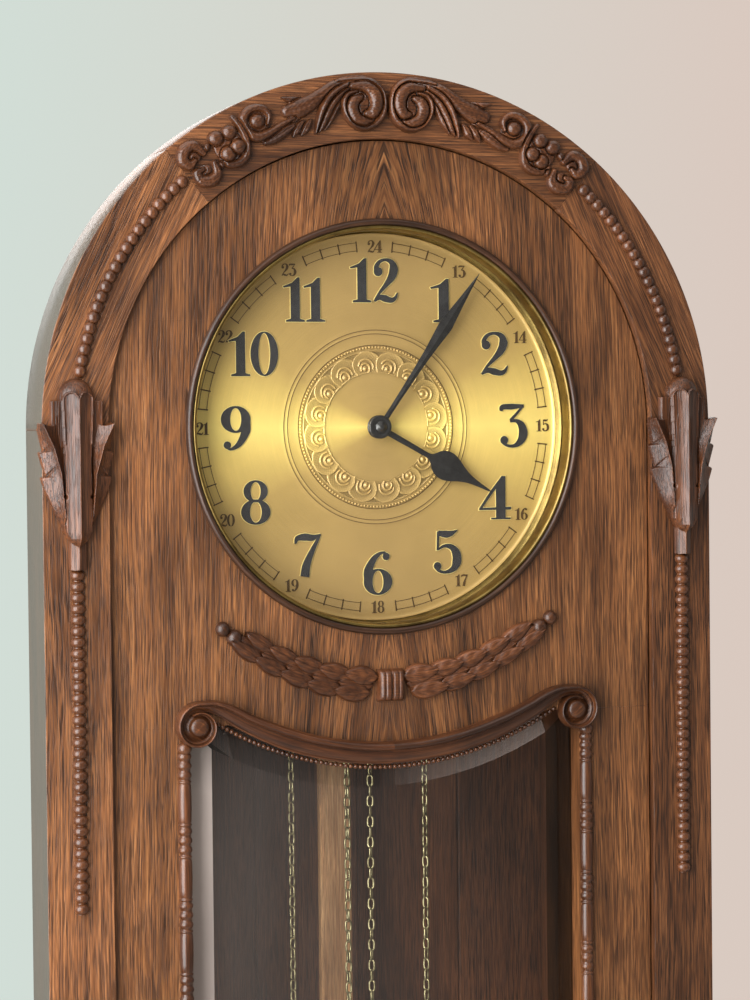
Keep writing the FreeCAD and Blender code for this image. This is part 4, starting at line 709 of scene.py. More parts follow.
# Crest: a mirrored pair of comma scrolls, leaf sprigs, curls and flower heads along the crown
def crest():
    field = Field((-1.0, 160.0), (-21.0, 21.5), 0.4)
    put = field.stroke
    bodies = ((17, 1, 15.0, 4.0), (96.5, 5.5, 9.6, 3.6), (121, 0.5, 11.0, 3.8), (147.6, 9.6, 6.8, 4.4),
              (146.4, -7, 6.6, 4.2))
    for s, t, radius, tall in bodies:
        put([(s, t), (s + 1, t)], radius, tall, flat=0.5)
    put([(76, -2), (70, 0), (62, 2)], [0.8, 3.2, 3.6], 4.2)
    put([(74, 15.5), (68, 12), (60, 8)], [0.6, 2.8, 4.0], 4.8)
    put([(73, 5.5), (65, 5), (56, 7), (46, 11.5), (36, 16.5), (25, 18.6)], [4.6, 6.6, 5.6, 4.4, 3.4, 2.4],
        [4.6, 5.6, 6.0, 6.0, 6.0, 5.4], groove=0.5)
    put([(29, 9), (37, 2), (44, -7), (50, -13.5)], [1.6, 2.8, 2.8, 0.8], [4.4, 5.0, 4.6, 3.4])
    put([(27, 13), (37, 6.5), (45, -2.5), (51, -10.5), (54.5, -14)], [1.6, 2.6, 2.8, 2.2, 0.7],
        [5.2, 5.8, 5.6, 4.6, 3.4])
    put([(23, 17), (38, 11), (47, 3), (53, -6), (57.5, -14.5)], [1.4, 2.2, 2.4, 2.0, 0.7],
        [6.0, 7.0, 7.2, 6.4, 4.0])
    put([(34, 19), (24, 19.6), (13, 17.8), (5.4, 11), (2.8, 2), (4, -7), (9.6, -13.4), (18, -16.4),
         (26, -13.4), (31.6, -6), (32.6, 2), (29, 8), (22, 10)],
        [1.4, 2.0, 2.3, 2.4, 2.4, 2.4, 2.3, 2.2, 2.2, 2.2, 2.0, 1.7, 1.0],
        [5.4, 6.2, 6.6, 6.8, 6.8, 6.6, 6.2, 6.0], count=110)
    put([(13, -11.4), (18.5, -11.6), (24.6, -8.5), (26.8, -2), (24.4, 3.6), (19.6, 5.6)],
        [1.6, 3.2, 4.2, 4.5, 3.8, 2.0], [5.0, 6.4, 7.0, 7.0, 6.6, 5.4], flat=0.3)
    put([(25, 14), (15.5, 13), (9.8, 7.5), (8.6, 0), (11.6, -5.6), (16.4, -6.2)],
        [2.2, 3.9, 4.7, 4.7, 4.0, 2.2], [5.4, 7.0, 7.8, 7.8, 7.2, 5.6], flat=0.3)
    put([(59, -5), (64, -9.5), (68.5, -13)], [1.4, 3.4, 0.9], [3.8, 5.2, 3.8], groove=0.5)
    put([(65, -4.5), (70.5, -8.5), (75, -12.5)], [1.4, 3.0, 0.8], [3.8, 5.0, 3.6], groove=0.5)
    put([(73, -5.5), (81, -7), (90, -8.8), (96.5, -9)], [1.8, 4.2, 4.2, 2.4],
        [4.4, 6.0, 6.0, 5.0], groove=0.9)
    put([(70, -0.5), (80, -2), (92, -4.5), (101, -3.4), (106.3, 3.4), (105, 11.6), (97.8, 16.2), (90, 14),
         (86.8, 7.6), (90, 2.2)], [1.2, 2.2, 3.0, 3.4, 3.5, 3.3, 3.1, 2.6, 2.2, 1.2],
        [4.0, 5.0, 6.0, 6.2, 6.2, 6.0, 5.6, 5.0], flat=0.15, count=90)
    put([(95.8, 6.6), (96.4, 6.8)], 5.2, 6.4)
    put([(110.5, 17), (108.8, 8), (109.2, -3), (113.6, -11), (121, -13.6), (129, -10.6), (132.5, -4.6)],
        [1.6, 2.2, 2.6, 2.9, 2.9, 2.5, 1.2], [4.6, 5.4, 5.6, 5.6, 5.0], groove=0.4)
    for s, t, radius in ((127.2, 9.4, 5.2), (117.0, 8.4, 5.0), (125.0, -4.4, 5.3), (116.2, -3.4, 5.1)):
        put([(s, t), (s + 0.5, t + 0.4)], radius, 6.6, flat=0.15)
    put([(135.5, 8), (137.5, 7)], [2.5, 2.2], 4.4)
    put([(134.0, -8), (135.8, -7.4)], [2.4, 2.2], 4.2)
    put([(140, 5.4), (142.4, 13.4), (148.6, 15.6), (154.4, 11), (153, 4.6), (148, 5)],
        [2.0, 3.8, 4.6, 4.2, 3.4, 1.8], [4.6, 5.8, 6.6, 6.2, 5.6, 4.8], groove=0.4)
    put([(137.4, -3.8), (140, -11), (146, -12.8), (152.6, -8.8), (152.2, -2.6), (147.2, -3)],
        [2.0, 3.8, 4.5, 4.1, 3.2, 1.7], [4.6, 5.6, 6.4, 6.0, 5.4, 4.6], groove=0.4)
    fall = np.clip(1 - (np.abs(field.T) / 20.5) ** 10, 0.25, 1)
    tooling = 0.15 * np.sin(field.S * 1.7 + np.sin(field.T * 0.9) * 2) * np.sin(field.T * 1.6)
    field.h = np.where(field.h > 0, field.h * fall + tooling, field.h)
    parts = []
    for side in SIDES:
        def place(s, t, up):
            reach = BAND_MM + t
            return from_dial(side * reach * np.sin(s / BAND_MM), up, reach * np.cos(s / BAND_MM), FRAME_FACE)
        parts.append(field.mesh(place))
    piece("CrestCarving", parts, crest_oak, "case", ["crest_carving"])


# Laurel swag: close rows of veined leaves to each side of a tie, with berries at the ends
def swag():
    sweep, pitch, length = 183.5, 20.4, 27.5
    rows = ((sweep, 0.0, 3.0, -1.6), (sweep - 5.9, -0.03, 0.0, 0.0), (sweep + 5.7, 0.03, 5.5, 0.0))
    u = np.linspace(0, 1, 18)[:, None]
    v = np.linspace(-1, 1, 13)[None, :]
    swell = np.sin(math.pi * u ** 0.8) ** 0.7
    veins = np.cos((u * 6.0 - np.abs(v) * 1.4) * math.pi) * np.minimum(1, 4 * np.abs(v)) * (1 - v ** 4)
    skin = 2.2 + 3.2 * np.sin(0.5 * math.pi * u) + 1.6 * (1 - np.abs(v) ** 2.4) + 0.35 * veins
    skin = skin + 0.55 * np.exp(-(v / 0.10) ** 2)
    parts = []
    for side in SIDES:
        for k in range(5):
            for reach, lean, shift, drop in rows:
                wide = (7.2 - 0.35 * k) * swell
                radius = sweep + (reach - sweep) * (1 - 0.05 * k) + v * wide + lean * length * u
                angle = (9.5 + pitch * k + shift + length * u) / sweep
                tall = np.where(np.abs(v) > 0.98, 0.2, skin + drop)
                place = from_dial(side * radius * np.sin(angle), tall, -radius * np.cos(angle), DOOR_FACE)
                parts.append(grid(place))
        for x, z, radius in ((114.8, 146.0, 5.9), (123.2, 139.6, 5.3)):
            parts.append(ball(from_dial(side * x, 1.5, -z, DOOR_FACE), radius, 12, 18))
    half, tall = 9.8, 11.6
    s = np.linspace(-half, half, 41)[:, None]
    t = np.linspace(-tall, tall, 25)[None, :]
    cushion = np.clip((1 - np.abs(s / half) ** 6) * (1 - np.abs(t / tall) ** 6), 0, 1) ** 0.4
    grooves = 2.4 * np.exp(-(s / 0.8) ** 2) + 0.9 * np.exp(-((np.abs(s) - 5) / 0.7) ** 2)
    parts.append(grid(from_dial(s, cushion * (8.6 - grooves), t - sweep, DOOR_FACE)))
    piece("LaurelSwag", parts, carved_oak, "door", ["laurel_swag"])


# Scroll moulding under the swag: a swept band that curls into a volute with a button at each end
def scroll():
    sweep, eye_x, eye_z, curl_steps = 231.5, 142, -206.7, 46
    turn = np.radians(np.linspace(100, -300, curl_steps))
    reach = np.linspace(14.4, 8.2, curl_steps)
    run = np.linspace(0, 110, 40)
    arc = np.stack([run, -np.sqrt(sweep ** 2 - run ** 2)], -1)
    join = smooth_path([(110, -203.7), (121, -197.2), (131, -193.2), (139.4, -192.5)], 10)[1:-1]
    curl = np.stack([eye_x + reach * np.cos(turn), eye_z + reach * np.sin(turn)], -1)
    path = np.vstack([arc, join, curl])
    wide = np.concatenate([np.interp(run, [0, 80, 110], [7.9, 7.9, 6.6]), np.linspace(6.6, 3.8, len(join)),
                           np.linspace(3.6, 2.0, curl_steps)])
    tall = np.concatenate([np.full(len(arc), 10.5), np.linspace(10.5, 11.2, len(join)),
                           np.linspace(11.2, 8.6, curl_steps)])
    along = headings(path)
    normal = np.stack([-along[:, 1], along[:, 0]], -1)
    section = np.array([(-1, 0), (-1, 0.36), (-0.94, 0.44), (-0.84, 0.46), (-0.78, 0.40), (-0.7, 0.46),
                        (-0.3, 0.52), (0.0, 0.60), (0.12, 0.56), (0.18, 0.56), (0.24, 0.72), (0.36, 0.90),
                        (0.54, 1.0), (0.72, 0.97), (0.88, 0.82), (0.97, 0.62), (1, 0.4), (1, 0)])
    flat = path[:, None] + normal[:, None] * (wide[:, None] * section[None, :, 0])[..., None]
    height = tall[:, None] * section[None, :, 1]
    button = [(0.01, -9.2), (3, -9.1), (5.4, -8.6), (6.5, -7.6), (6.9, -5.4), (7.4, -4.6),
              (10.2, -4.4), (10.4, 0)]
    parts = []
    for side in SIDES:
        parts.append(grid(from_dial(side * flat[..., 0], height, flat[..., 1], DOOR_FACE)))
        parts.append(lathe(button, from_dial(side * eye_x, 0, eye_z, DOOR_FACE), "Y", 40))
    piece("ScrollMoulding", parts, scroll_oak, "door", ["scroll_moulding"])
    row, pitch, end = 241.8, 3.7, 129
    beads = []
    for k in range(-36, 37):
        angle = k * pitch / row
        x = row * math.sin(angle)
        if abs(x) < end:
            place = from_dial(x, -0.4, -row * math.cos(angle), DOOR_FACE)
            beads.append(ball(place, (1.75, 1.9, 1.75), 7, 10))
    piece("ScrollBeads", beads, bead_oak, "door")


# Split turnings down both sides of the glass: barrels with beads and rings between them
def columns():
    offset, foot, period, head = 151.5, 541, 51.96, 1.4785
    unit = [(3.8, 0), (4.7, 0.5), (4.9, 1.1), (4.7, 1.7), (4.0, 2.1), (4.2, 2.6), (4.6, 3.4)]
    unit += [(4.6 + 0.35 * math.sin(math.pi * k / 6), 3.4 + 4.2 * k) for k in range(1, 6)]
    unit += [(4.6, 28.6), (4.2, 29.4), (4.0, 29.8), (4.7, 30.3), (4.9, 30.9), (4.7, 31.5), (3.8, 32.0)]
    for bead in range(3):
        for k in range(8):
            share = (k + 0.5) / 8
            unit.append((3.5 + 1.6 * math.sin(math.pi * share), 32.3 + 6.5 * (bead + share)))
    profile = [(radius, foot + k * period + height) for k in range(18) for radius, height in unit]
    parts = []
    for side in SIDES:
        x = side * offset * MM
        parts.append(lathe(profile, (x, DOOR_FACE, 0), "Z", 14, math.pi, math.pi))
        parts.append(ball((x, DOOR_FACE - MM, head), (5.4, 5.4, 5.0)))
    piece("BeadColumns", parts, bead_oak, "door", ["bead_columns"])


# Turned wooden ring round the dial hole, with the brass bezel of the dial glass inside it
def dial_lip():
    wooden = [(147.6, -0.2), (147.6, -1.6), (146.9, -3.2), (145.8, -4.3), (144.4, -4.3),
              (143.2, -3.3), (142.8, -1.8)]
    bezel = [(142.8, -1.8), (142.6, -2.6), (141.8, -3.1), (141.0, -2.9), (140.2, -2.0),
             (139.8, -0.6), (139.4, 3.0), (139.4, 9.0)]
    centre = (0, DOOR_FACE, DIAL_Z)
    piece("DialLip", [lathe(wooden, centre, "Y", 160)], lip_oak, "door", ["dial_lip"])
    piece("DialBezel", [lathe(bezel, centre, "Y", 160)], rim_brass, "door")


bead_strings()
leaf_corbels()
crest()
swag()
scroll()
columns()
dial_lip()

# Digits in a field one unit high: rings, dots, tapered lines with their half widths, and flat shapes
SIX = [("ring", (0, 0.30), (0.25, 0.30), (0.095, 0.255)),
       ("line", [(-0.19, 0.30), (-0.17, 0.56), (-0.06, 0.84), (0.08, 0.965), (0.16, 0.91)],
        [0.06, 0.085, 0.055, 0.024, 0.03]),
       ("dot", (0.145, 0.875), 0.078)]
DIGITS = {
    "0": [("ring", (0, 0.5), (0.27, 0.5), (0.115, 0.465))],
    "1": [("shape", [(-0.09, 0.03), (0.09, 0.03), (0.09, 1.0), (0.045, 1.0), (-0.06, 0.88), (-0.235, 0.80),
                     (-0.225, 0.765), (-0.09, 0.79)]),
          ("shape", [(-0.185, 0), (0.185, 0), (0.185, 0.04), (0.09, 0.07), (-0.09, 0.07), (-0.185, 0.04)])],
    "2": [("line", [(-0.16, 0.70), (-0.17, 0.81), (-0.10, 0.93), (0.02, 0.972), (0.14, 0.91), (0.18, 0.75),
                    (0.13, 0.57), (0.02, 0.40), (-0.11, 0.22), (-0.20, 0.06)],
           [0.05, 0.045, 0.035, 0.026, 0.055, 0.088, 0.075, 0.045, 0.026, 0.02]),
          ("dot", (-0.135, 0.70), 0.095),
          ("line", [(-0.22, 0.03), (-0.11, 0.115), (0.0, 0.09), (0.12, 0.055), (0.20, 0.10), (0.25, 0.22)],
           [0.02, 0.05, 0.066, 0.052, 0.035, 0.012])],
    "3": [("line", [(-0.20, 0.84), (-0.17, 0.93), (0.0, 0.94), (0.21, 0.955)], [0.03, 0.05, 0.055, 0.03]),
          ("line", [(0.20, 0.96), (0.09, 0.79), (-0.03, 0.62)], [0.02, 0.024, 0.03]),
          ("line", [(-0.04, 0.60), (0.08, 0.61), (0.17, 0.50), (0.20, 0.32), (0.15, 0.14), (0.04, 0.035),
                    (-0.09, 0.04), (-0.17, 0.13)],
           [0.022, 0.035, 0.072, 0.092, 0.07, 0.034, 0.026, 0.04]),
          ("dot", (-0.145, 0.165), 0.088)],
    "4": [("shape", [(0.02, 0.03), (0.19, 0.03), (0.19, 1.0), (0.14, 1.0), (0.02, 0.80)]),
          ("shape", [(-0.07, 0), (0.28, 0), (0.28, 0.04), (-0.07, 0.04)]),
          ("line", [(0.15, 0.985), (-0.05, 0.65), (-0.26, 0.26)], [0.03, 0.03, 0.024]),
          ("shape", [(-0.285, 0.22), (0.29, 0.22), (0.29, 0.29), (-0.285, 0.27)])],
    "5": [("line", [(-0.14, 0.935), (0.0, 0.905), (0.10, 0.925), (0.20, 0.99)], [0.05, 0.07, 0.05, 0.012]),
          ("shape", [(-0.17, 0.54), (-0.13, 0.54), (-0.115, 0.97), (-0.16, 0.97)]),
          ("line", [(-0.15, 0.55), (-0.03, 0.635), (0.10, 0.60), (0.18, 0.46), (0.19, 0.27), (0.13, 0.11),
                    (0.0, 0.032), (-0.12, 0.06), (-0.18, 0.15)],
           [0.016, 0.03, 0.055, 0.085, 0.092, 0.06, 0.03, 0.028, 0.04]),
          ("dot", (-0.155, 0.175), 0.085)],
    "6": SIX,
    "7": [("line", [(-0.22, 0.77), (-0.18, 0.89), (-0.05, 0.915), (0.08, 0.90), (0.22, 0.965)],
           [0.018, 0.05, 0.07, 0.06, 0.014]),
          ("line", [(0.205, 0.95), (0.07, 0.60), (-0.03, 0.28), (-0.06, 0.02)], [0.02, 0.05, 0.078, 0.09])],
    "8": [("ring", (0, 0.75), (0.205, 0.25), (0.085, 0.205)),
          ("ring", (0, 0.285), (0.25, 0.285), (0.10, 0.235))],
    "9": [(kind, (0, 1) - np.array(first), *rest) for kind, first, *rest in SIX],
}
ONE_STEP, DIGIT_STEP = 0.48, 0.63
PAIR_BREADTH, SINGLE_BREADTH = 1.2, 1.38
DOT_WEIGHT, LINE_WEIGHT = 1.1, 1.22


def numeral(text, x, z, height, front, back, margin=0.0):
    """Upright digits about a point, grown by a margin for the light edge behind them. Each stroke lies
    a little in front of the last."""
    steps = [ONE_STEP if digit == "1" else DIGIT_STEP for digit in text]
    start = -sum(steps) / 2
    broad = np.array([PAIR_BREADTH if len(text) > 1 else SINGLE_BREADTH, 1]) * height
    parts = []
    for digit, step in zip(text, steps):
        base = np.array([x + (start + step / 2) * height, z - height / 2])
        start += step
        for kind, first, *rest in DIGITS[digit]:
            front -= 0.02 * MM
            place = np.array(first) * broad + base
            if kind == "ring":
                outer = np.array(rest[0]) * broad + margin
                inner = np.maximum(np.array(rest[1]) * broad - margin, 0.03 * height)
                parts.append(hoop(place, outer, inner, front, back))
            elif kind == "dot":
                radius = DOT_WEIGHT * rest[0] * height + margin
                parts.append(plate(place + radius * circle(28), front, back))
            elif kind == "line":
                widths = LINE_WEIGHT * spread(rest[0], 30) * height + margin
                parts.append(ribbon(smooth_path(place, 30), widths, front, back))
            else:
                parts.append(plate(grown(place, margin) if margin else place, front, back))
    return parts


def clock_place(angle, radius):
    """A point of the dial at a clock angle in degrees from twelve and a radius in millimetres."""
    reach = radius * MM
    return reach * math.sin(math.radians(angle)), DIAL_Z + reach * math.cos(math.radians(angle))


# Dial: spun brass with raised rings, a beaded ring, an embossed band and a flared rim
def dial():
    centre = (0, DIAL_SKIN, DIAL_Z)
    rises = [(138.6, -2.4), (138.0, -0.9), (136.6, -0.2), (135.0, 0), (70.6, 0), (70.0, -0.2), (69.2, -0.2),
             (68.6, 0.05), (67.8, 0.05), (67.2, -0.2), (66.4, -0.2), (65.8, 0), (59.6, 0), (59.0, -0.2),
             (58.6, -0.1), (55.0, -0.1)]
    profile = []
    for start, end in zip(np.array(rises), np.array(rises[1:])):
        count = max(1, int((start[0] - end[0]) / 3))
        profile += [start + (end - start) * k / count for k in range(count)]
    profile.append((55.0, 0))
    piece("DialFace", [lathe(profile, centre, "Y", 200)], spun_gold, "case")
    flare = [(138.4, -1.6), (139.4, -2.6), (140.4, -4.2), (141.8, -5.6), (143.0, -6.0), (143.0, -4.6)]
    piece("DialFlange", [lathe(flare, (0, DIAL_FACE, DIAL_Z), "Y", 160)], rim_brass, "case")
    bead_count = 150
    beads = []
    for k in range(bead_count):
        x, z = clock_place(k * 360 / bead_count, 57.2)
        beads.append(ball((x, DIAL_SKIN - 0.1 * MM, z), (0.98, 1.5, 0.98), 6, 8))
    piece("DialBeads", beads, relief_gold, "case")
    inner = [(radius, -0.02) for radius in np.linspace(39, 6.2, 12)]
    piece("DialCentre", [lathe(inner, centre, "Y", 120)], grained_gold, "case")
    piece("DialBand", embossed_band(), relief_gold, "case")


def embossed_band():
    """A ring of shells with a boss and two curled ribs in each, as one length that repeats."""
    count, length, low, high = 16, 18.45, 39.0, 55.2
    band = Field((0, length), (low, high), 0.3)
    s, t = band.S - 9.2, band.T - low

    def rib(x, y, radius, width, height, start, end):
        """A round rib about a point, between two angles in degrees."""
        angle = np.degrees(np.arctan2(t - y, s - x)) % 360
        shown = ((angle >= start) & (angle <= end)) | ((angle + 360 >= start) & (angle + 360 <= end))
        return np.where(shown, height * np.exp(-((np.hypot(s - x, t - y) - radius) / width) ** 2), 0)

    h = np.zeros_like(s)
    for shift in length * np.arange(-2, 3):
        reach = np.hypot((s - shift - 2.2) / 1.12, t - 5.6) / 10.0
        h = np.where(reach < 1, 0.06 + 0.66 * reach ** 4, h)
    for shift in length * np.arange(-1, 2):
        h = np.maximum(h, rib(shift, 3.4, 0.0, 1.6, 1.0, 0, 360))
        h = np.maximum(h, rib(shift + 0.5, 3.6, 3.6, 0.7, 0.88, 300, 560))
        h = np.maximum(h, rib(shift + 1.2, 4.2, 6.0, 0.6, 0.72, 340, 520))
    h = np.maximum(h, 0.55 * np.exp(-((t - 0.4) / 0.5) ** 2))
    h = np.maximum(h, 0.45 * np.exp(-((t - 15.7) / 0.5) ** 2))
    band.h = h + 0.06 * np.sin(s * 3.1) * np.sin(t * 2.7) + 0.02
    parts = []
    for k in range(count):
        def place(a, radius, up):
            angle = TURN * (k + a / length) / count
            return from_dial(radius * np.sin(angle), 1.5 * up, radius * np.cos(angle), DIAL_SKIN)
        parts.append(band.mesh(place))
    return parts


# Print on the dial: hour numerals with a light edge, the small hours and minute blocks, and dark rings
# as painted shade of fine grooves
def dial_print():
    face = DIAL_SKIN
    ink_rise, edge_rise, line_rise, ring_rise, rail_rise = np.array([0.8, 0.45, 0.3, 0.28, 0.2]) * MM
    block_half, rail_half, edge_width = 0.42 * MM, 0.22 * MM, 0.42 * MM
    hour_radius, hour_height, late_radius, late_height = 105, 31.5 * MM, 129.3, 8.8 * MM
    ink, edge, lines = [], [], []
    # Painted shade: thin brown rings stand for the shade in fine grooves.
    for radius in (69.8, 67.0, 59.0):
        lines.append(hoop((0, DIAL_Z), radius * MM, (radius - 0.5) * MM, face - ring_rise, face, 120))
    for hour in range(1, 13):
        x, z = clock_place(30 * hour, hour_radius)
        ink += numeral(str(hour), x, z, hour_height, face - ink_rise, face)
        edge += numeral(str(hour), x, z, hour_height, face - edge_rise, face, edge_width)
        x, z = clock_place(30 * hour, late_radius)
        lines += numeral(str(hour + 12), x, z, late_height, face - line_rise, face)
        for radius in (126.6, 132.4):
            run = [clock_place(30 * hour + a, radius) for a in np.linspace(5.8, 24.2, 24)]
            lines.append(ribbon(run, rail_half, face - rail_rise, face))
        for minute in (6, 12, 18, 24):
            ends = [clock_place(30 * hour + minute, radius) for radius in (125.6, 129.5, 133.4)]
            lines.append(ribbon(ends, block_half, face - line_rise, face))
    piece("HourNumerals", ink, numeral_blue, "case", smooth=False)
    piece("NumeralEdges", edge, numeral_edge, "case", smooth=False)
    piece("MinuteBlocks", lines, line_brown, "case", smooth=False)


# Hands: blackened blades of two facets, hubs and a turned nut
def blade(stations, angle, back):
    """A ridged hand from half widths and radii in millimetres, turned to a clock angle."""
    edge = smooth_path(stations, 44)
    edge[:, 0] = np.maximum(edge[:, 0], 0.02)
    outline = np.vstack([edge, edge[::-1] * (-1, 1)]) * MM
    a = math.radians(angle)
    x = outline[:, 0] * math.cos(a) + outline[:, 1] * math.sin(a)
    z = outline[:, 1] * math.cos(a) - outline[:, 0] * math.sin(a)
    outline = np.stack([x, DIAL_Z + z], -1)
    half = len(edge)
    left = outline[:half + 1]
    right = np.roll(outline[::-1], 1, 0)[:half + 1]
    ridge = (left + right) / 2
    lift = np.linalg.norm(left - right, axis=1)
    top = back - 0.5 * MM - 1.2 * MM * lift / lift.max()
    side = back - 0.4 * MM
    rows = [np.insert(left, 1, back, 1), np.insert(left, 1, side, 1), xyz(ridge[:, 0], top, ridge[:, 1]),
            np.insert(right, 1, side, 1), np.insert(right, 1, back, 1)]
    return grid(np.array(rows).transpose(1, 0, 2))


def hands():
    minute = [(2.0, 4), (1.9, 14), (2.2, 34), (3.0, 60), (4.4, 78), (5.2, 88), (4.5, 95), (2.5, 112),
              (0.9, 128), (0.0, 135.2)]
    hour = [(2.3, 4), (2.1, 16), (1.9, 36), (2.1, 44), (4.2, 47.5), (8.0, 51), (10.2, 56), (10.4, 61),
            (8.4, 67), (5.4, 73), (3.0, 80), (1.7, 88), (0.8, 96), (0.0, 99.8)]
    hub = [(8.4, 0.0), (8.4, -0.8), (7.9, -1.35), (6.4, -1.5), (5.6, -1.2), (4.4, -1.2), (4.4, 0.0)]
    nut = [(0.05, -3.4), (1.6, -3.3), (2.4, -2.8), (2.6, -1.8), (3.8, -1.6), (4.3, -1.0), (4.3, 0.2)]
    for name, stations, angle, lift, body in (("MinuteHand", minute, 35, 9, "minute_hand"),
                                              ("HourHand", hour, 119, 5, "hour_hand")):
        back = DIAL_FACE - lift * MM
        parts = [blade(stations, angle, back), lathe(hub, (0, back, DIAL_Z), "Y", 48)]
        piece(name, parts, hand_black, body, [body], smooth=False)
    turned = lathe(nut, (0, DIAL_FACE - 10 * MM, DIAL_Z), "Y", 32)
    piece("HandNut", [turned], hand_black, "minute_hand")


dial()
dial_print()
hands()


# Door glass: a flat pane with a broad ground bevel along its edges
def door_pane():
    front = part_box("door_glass")[0].y
    bevel, cover, fall = 20 * MM, 6.5 * MM, 1.6 * MM
    sill, side, crown, sweep, chord = 541 * MM, 147 * MM, 207 * MM, 238 * MM, 117 * MM

    def border(inset):
        top = DIAL_Z - crown - inset * 0.9
        half = side - inset
        reach = sweep + inset
        lean = math.asin(chord * (1 - inset * 2.2) / reach)
        turn = np.linspace(-lean, lean, 25)
        arc = np.stack([reach * np.sin(turn), DIAL_Z - reach * np.cos(turn)], -1)
        return np.vstack([(-half, sill + inset), (-half, top), arc, (half, top), (half, sill + inset)])

    strip = stacked([(border(-cover), front + fall), (border(bevel), front)])
    piece("DoorGlassBevel", [strip], bevel_glass, "door", smooth=False)
    inner = np.insert(border(bevel), 1, front, 1)
    flat = [tuple(range(len(inner)))]
    piece("DoorGlassPane", [(inner, flat)], clear_glass, "door", ["door_glass"], smooth=False)


# Chains: bent wire links that stretch between the movement and what hangs on them
def chains():
    pitch, wide, wire = 7.6 * MM, 5.9 * MM, 0.9 * MM
    bend = circle(16) * (wide / 2 - wire)
    straight = (pitch / 2 + wire - wide / 2 + 0.1 * MM) * np.sign(np.round(bend[:, 1], 9))
    loop = np.stack([bend[:, 0], bend[:, 1] + straight], -1)
    for hung, body in (("weight_chain_left", "weight_left"), ("weight_chain_right", "weight_right"),
                       ("ring_chain_left", "pull_ring_left"), ("ring_chain_right", "pull_ring_right")):
        low, high, centre = box_of(hung)
        x, y = centre.x, centre.y
        count = int((high.z - low.z - 2 * wire) / pitch)
        first = rng.uniform(0, math.pi)
        parts = []
        for k in range(count):
            z = low.z + (high.z - low.z) * (k + 0.5) / count
            a = first + k * math.pi / 2 + rng.uniform(-0.16, 0.16)
            path = xyz(x + loop[:, 0] * math.cos(a), y + loop[:, 0] * math.sin(a), z + loop[:, 1])
            parts.append(tube(path, wire, (-math.sin(a), math.cos(a), 0), 6, True))
        item = piece("Links_" + body, parts, chain_brass, None, [hung])
        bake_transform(item)


# Weights: polished tubes with stepped caps, a hook above and a nut below
def weights():
    length = 300
    nut = [(0.01, 0.0), (3.4, 0.2), (4.2, 1.6), (4.2, 5.0)]
    stud = [(0.01, 300), (3.2, 300), (4.6, 299.4), (5.0, 296)]
    cap = [(9.5, 6.0), (14, 6.6), (19.6, 9.0), (21.6, 10.6), (22.4, 12.6)]
    rings = [(23.0, 13.2), (23.0, 16.2), (22.2, 16.8), (22.2, 18.2)]
    lid = [(9.5, 294.4), (14, 293.4), (19.6, 291.0), (21.6, 289.4), (22.4, 287.4)]
    wall = [(22.8, height) for height in np.linspace(19, 281, 11)]
    profile = nut + cap + rings + wall
    profile += [(radius, length - height) for radius, height in reversed(rings)]
    profile += lid[::-1] + stud[::-1]
    hook = [(0, -0.02), (0, 0.16), (0.12, 0.26), (0.13, 0.46), (0.0, 0.60), (-0.12, 0.72),
            (-0.08, 0.88), (0.05, 0.93)]
    for name in ("weight_left", "weight_right"):
        low, high, centre = box_of(name)
        top = low.z + length * MM
        rise = high.z - top
        path = smooth_path([(centre.x + a * rise, centre.y, top + b * rise) for a, b in hook], 30)
        parts = [lathe(profile, (centre.x, centre.y, low.z), "Z", 48), tube(path, 1.5 * MM, (0, 1, 0))]
        piece("Tube_" + name, parts, polished_brass, name, [name])


# Pull rings: turned rings on the free ends of the chains
def pull_rings():
    wire = 1.6 * MM
    neck = [(0.01, 0), (1.8, 0.4), (2.2, 2.2), (1.5, 3.4), (1.5, 5.4), (2.0, 6.2), (1.2, 7.0), (0.01, 7.2)]
    for name in ("pull_ring_left", "pull_ring_right"):
        low, high, centre = box_of(name)
        radius = (high.y - low.y) / 2 - wire
        middle = low.z + radius + wire
        ring = circle(48) * radius
        path = xyz(centre.x, centre.y + ring[:, 0], middle + ring[:, 1])
        start = middle + radius + 0.6 * MM
        share = min(1.0, (high.z - start) / (neck[-1][1] * MM))
        turned = lathe([(a, b * share) for a, b in neck], (centre.x, centre.y, start), "Z", 16)
        parts = [tube(path, wire - 0.05 * MM, (1, 0, 0), 10, True), turned]
        piece("Ring_" + name, parts, polished_brass, name, [name])


